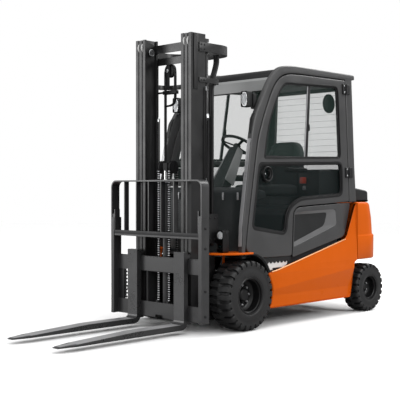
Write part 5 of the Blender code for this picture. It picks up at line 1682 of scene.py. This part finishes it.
@dataclass
class Mast:
    """The three stages with their rollers, hoses, chains and pulley."""

    chain_x: float = 0.063
    sheave_y: float = -0.360
    sheave_z: float = 1.358
    sheave_radius: float = 0.048
    free_lift_y: float = -0.378
    pulley_centre: tuple[float, float, float] = (-0.112, -0.222, 2.188)

    def build(self) -> None:
        """Makes the stages and what hangs on them."""
        for stage in ("outer_mast", "middle_mast", "inner_mast"):
            soft_edged(stage, MAST_STEEL, stage, 0.0018)
        soft_edged("crosshead", CAST_IRON, "crosshead", 0.0015)
        for side in Side:
            word = side.word
            soft_edged(f"tilt_barrel_{word}", BLACK_STEEL, f"tilt_barrel_{word}", 0.0015)
            carried(f"tilt_rod_{word}", CHROME)
        self.rollers()
        self.chains()
        self.rods()
        self.pulley()
        self.hoses()
        self.bolts()

    def rollers(self) -> None:
        """Bright faces on the rollers at both ends of the rails, and the guide rollers at the top."""
        for body, x in (("middle_mast", 0.262), ("inner_mast", 0.2195)):
            parts = [
                lathe(
                    [(0, 0), (0, 0.030), (0.002, 0.032), (0.003, 0.032), (0.003, 0.0)], spot(x, -0.336, z),
                    sides=40) for z in (0.180, 2.345)]
            ZINC.dress(both_sides(all_joined(parts)).piece(f"roller_faces_{body}"), body)
        for body, x in (("inner_mast", 0.2545), ("middle_mast", 0.2975)):
            guide = lathe(
                [(-0.004, 0), (-0.004, 0.040), (-0.003, 0.042), (0.003, 0.042), (0.004, 0.040), (0.004, 0)],
                spot(x, -0.389, 2.385), sides=44)
            STEP_ALLOY.dress(both_sides(guide).piece(f"guide_rollers_{body}"), body)

    def chains(self) -> None:
        """The strands in front, whose pieces get meshes of their own, and those behind."""
        front_y = self.sheave_y - self.sheave_radius + 0.002
        back_y = self.sheave_y + self.sheave_radius - 0.002
        front = leaf_chain(self.chain_x, front_y, 0.222, self.sheave_z)
        back = leaf_chain(self.chain_x, back_y, 0.330, self.sheave_z)
        for number, (part, finish) in enumerate((("plates", BLACK_STEEL), ("links", LINK_STEEL))):
            piece = finish.dress(both_sides(front[number]).piece(f"chain_{part}_front"), "crosshead")
            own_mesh(piece)
            finish.dress(both_sides(back[number]).piece(f"chain_{part}_back"), "crosshead")
        anchors = both_sides(
            block((self.chain_x - 0.0125, self.chain_x + 0.0125), (-0.430, -0.400), (0.192, 0.240), 0.004))
        CAST_IRON.dress(anchors.piece("chain_anchors"), "carriage")
        flanges = [
            lathe(
                [(0, 0.020), (0, 0.054), (0.001, 0.055), (0.002, 0.054), (0.002, 0.020)],
                spot(self.chain_x + offset, self.sheave_y, self.sheave_z), sides=40)
            for offset in (-0.0125, 0.0105)]
        CAST_IRON.dress(both_sides(all_joined(flanges)).piece("sheave_flanges"), "crosshead")

    def rods(self) -> None:
        """Polished sleeves on the rods, and the glands at the tops of the barrels."""
        gland = lathe(
            [(0, 0.021), (0, 0.030), (0.002, 0.033), (0.030, 0.033), (0.034, 0.030), (0.036, 0.021)],
            spot(0.300, -0.212, 1.762), (0, 0, 1), 32)
        ZINC.dress(both_sides(gland).piece("lift_glands"), "outer_mast")
        free = lathe(
            [(0, 0.0209), (0, 0.029), (0.003, 0.032), (0.026, 0.032), (0.030, 0.028), (0.030, 0.0209)],
            spot(0.0, self.free_lift_y, 1.226), (0, 0, 1), 36)
        ZINC.dress(free.piece("free_lift_gland"), "inner_mast")
        jacket = lathe(
            [(0, 0.0300), (0, 0.0304), (0.004, 0.0308), (1.070, 0.0308), (1.074, 0.0300)],
            spot(0.0, self.free_lift_y, 0.142), (0, 0, 1), 40)
        BAR_STEEL.dress(jacket.piece("free_lift_jacket"), "inner_mast")
        sleeve = lathe(
            [(0, 0.0200), (0, 0.0204), (0.070, 0.0204), (0.070, 0.0200)],
            spot(0.0, self.free_lift_y, 1.2575), (0, 0, 1), 36)
        CHROME.dress(sleeve.piece("free_lift_rod"), "crosshead")

    def pulley(self) -> None:
        """The hose pulley behind the middle stage's head, in its yoke."""
        x, y, z = self.pulley_centre
        centre = spot(x, y, z)
        wheel = lathe(
            [(-0.016, 0), (-0.016, 0.052), (-0.012, 0.055), (-0.008, 0.052), (0.0, 0.044), (0.008, 0.052),
             (0.012, 0.055), (0.016, 0.052), (0.016, 0)], centre, (0, 1, 0), 44)
        BLACK_STEEL.dress(wheel.piece("hose_pulley"), "middle_mast")
        hub = bar(spot(x, y - 0.040, z), spot(x, y - 0.034, z), 0.015, 24)
        ZINC.dress(hub.piece("pulley_hub"), "middle_mast")
        yoke = all_joined(
            [block((-0.130, -0.094), (-0.256, -0.243), (2.050, 2.290), 0.003, 0.008),
             block((-0.128, -0.096), (-0.252, -0.196), (2.272, 2.290), 0.003),
             bar(spot(x, y - 0.035, z), spot(x, y + 0.024, z), 0.010, 16)])
        CAST_IRON.dress(yoke.piece("pulley_yoke"), "middle_mast")

    def hoses(self) -> None:
        """Hydraulic lines over the pulley, on the bow and beside the left rail, and the rails' strips."""
        over = []
        for shift in (-0.007, 0.007):
            y = -0.222 + shift
            over.append(
                tube(
                    line(
                        (-0.173, y, 0.60), (-0.173, y, 1.40), (-0.173, y, 2.10), (-0.170, y, 2.188),
                        (-0.153, y, 2.229), (-0.112, y, 2.2465), (-0.071, y, 2.229), (-0.054, y, 2.188),
                        (-0.052, y, 2.08), (-0.052, y, 1.97), (-0.066, y, 1.915), (-0.105, y, 1.895),
                        (-0.165, y, 1.89)), 0.0072, (0, 1, 0), 10))
        SEAL.dress(all_joined(over).piece("pulley_hoses"), "middle_mast")
        clamp = all_joined(
            [block((-0.190, -0.030), (-0.240, -0.204), (1.990, 2.022), 0.004),
             block((-0.280, -0.120), (-0.248, -0.238), (1.998, 2.014), 0.002)])
        BLACK_STEEL.dress(clamp.piece("hose_clamp"), "middle_mast")
        bow_hoses = []
        for x, y in ((0.012, 0.0), (-0.022, 0.010)):
            path = line(
                (0.250, -0.035, 2.312), (0.250, -0.030, 2.250), (0.250, -0.050, 2.180),
                (0.258, -0.085, 2.110), (0.272, -0.115, 2.030), (0.290, -0.138, 1.940),
                (0.300, -0.150, 1.840), (0.300, -0.150, 1.700), (0.300, -0.150, 0.700)) + (x, y, 0.0)
            bow_hoses.append(tube(path, 0.0165, (1, 0, 0), 12))
        SEAL.dress(all_joined(bow_hoses).piece("bow_hoses"), "outer_mast")
        beside = all_joined(
            [tube(
                 line(
                     (0.352, -0.268, 0.970), (0.352, -0.268, 1.30), (0.352, -0.266, 1.70),
                     (0.350, -0.262, 1.99)), 0.007, (0, 1, 0), 10),
             tube(
                 line(
                     (0.352, -0.250, 0.970), (0.352, -0.248, 1.20), (0.345, -0.235, 1.60),
                     (0.338, -0.225, 1.74)), 0.006, (0, 1, 0), 10)])
        SEAL.dress(beside.piece("rail_hoses"), "outer_mast")
        fittings = [
            lathe(
                [(0, 0), (0, 0.009), (0.004, 0.011), (0.016, 0.011), (0.018, 0.008), (0.034, 0.008),
                 (0.034, 0)], spot(x, y, z), (0, 0, 1), 6)
            for x, y, z in (
                (0.352, -0.266, 1.23), (0.351, -0.262, 1.985), (0.352, -0.268, 0.972),
                (0.352, -0.250, 0.972))]
        ZINC.dress(all_joined(fittings).piece("hose_fittings"), "outer_mast")
        strip = block((0.3352, 0.3440), (-0.392, -0.346), (1.990, 2.445), 0.002, 0.004)
        MAST_STEEL.dress(both_sides(strip).piece("rail_strips"), "outer_mast")

    def bolts(self) -> None:
        """Bolt heads on the side brackets and on the bows."""
        heads = [
            bolt_head(spot(0.3895, y, z), 0.010, 0.007) for y in (-0.250, -0.195) for z in (0.760, 0.935)]
        heads += [
            bolt_head(spot(0.3435, y, z), 0.008, 0.006)
            for y, z in (
                (-0.310, 2.325), (-0.310, 2.361), (-0.270, 2.325), (-0.270, 2.361), (-0.310, 2.072),
                (-0.275, 2.072))]
        CAST_IRON.dress(both_sides(all_joined(heads)).piece("mast_bolts"), "outer_mast")


# ---------------------------------------------------------------- carriage and forks


@dataclass
class Carriage:
    """The fork carriage, its toothed upper bar, the latch pins, and the backrest."""

    half: float = 0.540
    face_y: float = -0.465
    bar_top: float = 0.609
    teeth: int = 24

    def build(self) -> None:
        """Makes the carriage, the bar's teeth, the backrest and the forks."""
        soft_edged("carriage", BAR_STEEL, "carriage", 0.002)
        soft_edged("load_backrest", BAR_STEEL, "carriage", 0.0015)
        CAST_IRON.dress(self.rack().piece("carriage_rack"), "carriage")
        bolts = [bolt_head(spot(0.5495, -0.476, z), 0.011, 0.008) for z in (0.160, 0.360, 0.700, 0.860)]
        CAST_IRON.dress(both_sides(all_joined(bolts)).piece("carriage_bolts"), "carriage")
        self.reach_stops()
        # Small black blocks on the bar's top front edge: painted shade standing in for the dark hollows of
        # the notches.
        notch_shade = [
            block((x - 0.006, x + 0.006), (-0.4652, -0.4600), (0.599, 0.6092))
            for x in np.linspace(-0.513, 0.513, 26)]
        BLACK_STEEL.dress(all_joined(notch_shade).piece("bar_notches"), "carriage")
        angle = block((-0.532, 0.532), (-0.516, -0.506), (0.790, 0.822), 0.002)
        BLACK_STEEL.dress(angle.piece("backrest_angle"), "carriage")
        for side in Side:
            word = side.word
            soft_edged(f"fork_{word}", FORK_STEEL, f"fork_{word}", 0.0035)
            self.wear_and_sheen_faces(side)
            self.latch(side)

    def reach_stops(self) -> None:
        """The dark guard plate and the toothed stop strip in the outer window of the right half."""
        guard = block((-0.511, -0.440), (-0.462, -0.450), (0.226, 0.488), 0.003)
        BLACK_STEEL.dress(guard.piece("carriage_guard"), "carriage")
        z = np.linspace(0.232, 0.482, 97)
        wave = 0.006 * np.sign(np.sin((z - 0.232) / 0.250 * 16.0 * math.pi))
        outline = np.concatenate([np.stack([-0.418 + wave, z], 1), [(-0.442, 0.482), (-0.442, 0.232)]])
        strip = plate(outline, (-0.455, -0.450), DATUM.across, 0.0005, steps=1)
        BLACK_STEEL.dress(strip.piece("stop_strip"), "carriage")

    def wear_and_sheen_faces(self, side: Side) -> None:
        """The blade's top, made pale from the heel down the taper to the tip: partly bare steel rubbed by
        loads, partly a painted highlight of the light the top catches.
        """
        tall = 0.0008
        parts = []
        for path, width in (
                (((-0.545, 0.0800), (-1.027, 0.0800), (-1.587, 0.0536)), (0.226, 0.340)),
                (((-1.587, 0.0536), (-1.722, 0.0472)), (0.252, 0.314))):
            low = np.array(path)
            outline = np.concatenate([low, low[::-1] + (0.0, tall)])
            parts.append(plate(outline, width, DATUM.side_on, 0.0002, steps=1))
        WORN_STEEL_AND_SHEEN.dress(
            all_joined(parts).mirrored(side).piece(f"fork_wear_{side.word}"), f"fork_{side.word}")

    def rack(self) -> Shape:
        """The saw-toothed strip on the upper bar: z rises by half a tooth's wave over its pitch."""
        x = np.linspace(-self.half + 0.012, self.half - 0.012, self.teeth * 8 + 1)
        phase = np.mod((x + self.half) / (2.0 * self.half) * self.teeth, 1.0)
        notch = np.clip((0.5 - np.abs(phase - 0.5)) * 6.0 - 0.6, 0.0, 1.0)
        top = self.bar_top - 0.012 + 0.0115 * notch
        outline = np.concatenate(
            [np.stack([x, top], 1),
             [(self.half - 0.012, self.bar_top - 0.030), (-self.half + 0.012, self.bar_top - 0.030)]])
        return plate(outline, (self.face_y + 0.028, self.face_y + 0.0355), DATUM.across, 0.0006, steps=1)

    def latch(self, side: Side) -> None:
        """The spring pin on a fork's hook, with its lever."""
        body = f"fork_{side.word}"
        centre = side.value * 0.283
        knob = lathe(
            [(0, 0), (0, 0.010), (0.010, 0.012), (0.014, 0.012), (0.020, 0.009), (0.020, 0)],
            spot(centre, -0.452, 0.6430), (0, 0, 1), 20)
        lever = block((centre - 0.030, centre + 0.010), (-0.460, -0.446), (0.655, 0.6615), 0.002, 0.005)
        ZINC.dress(knob.joined(lever).piece(f"fork_latch_{side.word}"), body)


# ---------------------------------------------------------------- stage


@dataclass
class Stage:
    """The camera, the soft lights and the pale floor."""

    place: tuple[float, float, float] = (5.518, -5.7975, 1.17)
    azimuth: float = math.radians(44.20)
    elevation: float = math.radians(0.657)
    lens: float = 81.54
    floor_tone: float = 0.93
    floor_bounce: float = 0.30
    ambient: float = 0.30

    def build(self) -> None:
        """Sets up the camera, the lights, the surroundings and the floor."""
        scene = bpy.context.scene
        back = Vector(
            (math.sin(self.azimuth) * math.cos(self.elevation),
             -math.cos(self.azimuth) * math.cos(self.elevation), math.sin(self.elevation)))
        view = bpy.data.cameras.new("view")
        view.lens = self.lens
        view.sensor_width = 36.0
        view.clip_end = 100.0
        camera = bpy.data.objects.new("view", view)
        camera.rotation_euler = back.to_track_quat("Z", "Y").to_euler()
        camera.location = self.place
        scene.collection.objects.link(camera)
        scene.camera = camera
        self.surroundings(scene)
        self.light("sky", "SUN", (0.30, -0.30, 1.0), (0.0, 0.0, 0.0), 2.75).angle = math.radians(110.0)
        self.light("key", "AREA", (-5.4, -6.2, 2.6), (0.0, -0.6, 1.1), 250.0).size = 4.0
        self.light("side", "AREA", (6.8, 2.2, 3.6), (0.3, 0.5, 1.0), 165.0).size = 2.0
        self.light("rim", "AREA", (1.0, 6.8, 6.2), (0.2, 0.5, 1.0), 420.0).size = 4.0
        self.floor()
        scene.view_settings.view_transform = "Standard"

    def surroundings(self, scene: bpy.types.Scene) -> None:
        """White where it is seen directly, and dimmer as a light."""
        world = bpy.data.worlds.new("studio")
        world.use_nodes = True
        tree = world.node_tree
        back = tree.nodes["Background"]
        back.inputs["Color"].default_value = (1.0, 1.0, 1.0, 1.0)
        seen = tree.nodes.new("ShaderNodeLightPath").outputs["Is Camera Ray"]
        scale = tree.nodes.new("ShaderNodeMapRange")
        scale.inputs["To Min"].default_value = self.ambient
        scale.inputs["To Max"].default_value = 1.0
        tree.links.new(seen, scale.inputs["Value"])
        tree.links.new(scale.outputs["Result"], back.inputs["Strength"])
        scene.world = world

    def light(self, name: str, kind: str, place: tuple, target: tuple, power: float) -> bpy.types.Light:
        """A light that faces a point."""
        lamp = bpy.data.lights.new(name, kind)
        lamp.energy = power
        thing = bpy.data.objects.new(name, lamp)
        thing.location = place
        thing.rotation_euler = (Vector(place) - Vector(target)).to_track_quat("Z", "Y").to_euler()
        bpy.context.scene.collection.objects.link(thing)
        return lamp

    def floor(self) -> None:
        """A flat disc of rings that widen outwards, in a plain pale finish."""
        radius = np.linspace(0.0, 1.0, 24) ** 2 * 24.0
        shape = lathe(np.stack([np.zeros(24), radius], 1).tolist(), (0, 0, -0.001), (0, 0, 1), 64)
        piece = shape.piece("floor")
        made = bpy.data.materials.new("studio floor")
        made.use_nodes = True
        shader = made.node_tree.nodes["Principled BSDF"]
        nodes = Nodes(made)
        seen = nodes.add("ShaderNodeLightPath").outputs["Is Camera Ray"]
        tones = [(tone, tone, tone) for tone in (self.floor_bounce, self.floor_tone)]
        nodes.link(nodes.mix(seen, *tones), shader.inputs["Base Color"])
        shader.inputs["Roughness"].default_value = 0.9
        piece.data.materials.append(made)


# ---------------------------------------------------------------- the truck


def wheels() -> None:
    """The four wheels."""
    for side in Side:
        Wheel(side, "front", lugs=26, nuts=8, nut_circle=0.082, hub_radius=0.055, hub_reach=0.548).build()
        Wheel(side, "rear", lugs=22, nuts=6, nut_circle=0.060, hub_radius=0.038, hub_reach=0.553).build()


def underside() -> None:
    """The chassis, the battery and both axles."""
    soft_edged("chassis", BLACK_STEEL, "truck", 0.002)
    carried("battery", BATTERY)
    soft_edged("drive_axle", CAST_IRON, "truck", 0.003)
    soft_edged("steer_axle", CAST_IRON, "truck", 0.003)
    for side in Side:
        soft_edged(f"knuckle_{side.word}", CAST_IRON, f"knuckle_{side.word}", 0.002)


def main() -> None:
    """Builds the stage and every sub-assembly."""
    logging.basicConfig(level=logging.INFO, format="%(message)s")
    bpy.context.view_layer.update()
    Stage().build()
    wheels()
    underside()
    Counterweight().build()
    for side in Side:
        Flank(side).build()
        Fender(side).build()
        StepWell(side).build()
        HoodPanel(side).build()
        Door(side).build()
        CabArch(side).build()
        WorkLamp(side).build()
        Headlight(side).build()
    Roof().build()
    Cockpit().build()
    Mast().build()
    Carriage().build()


if __name__ == "__main__":
    main()
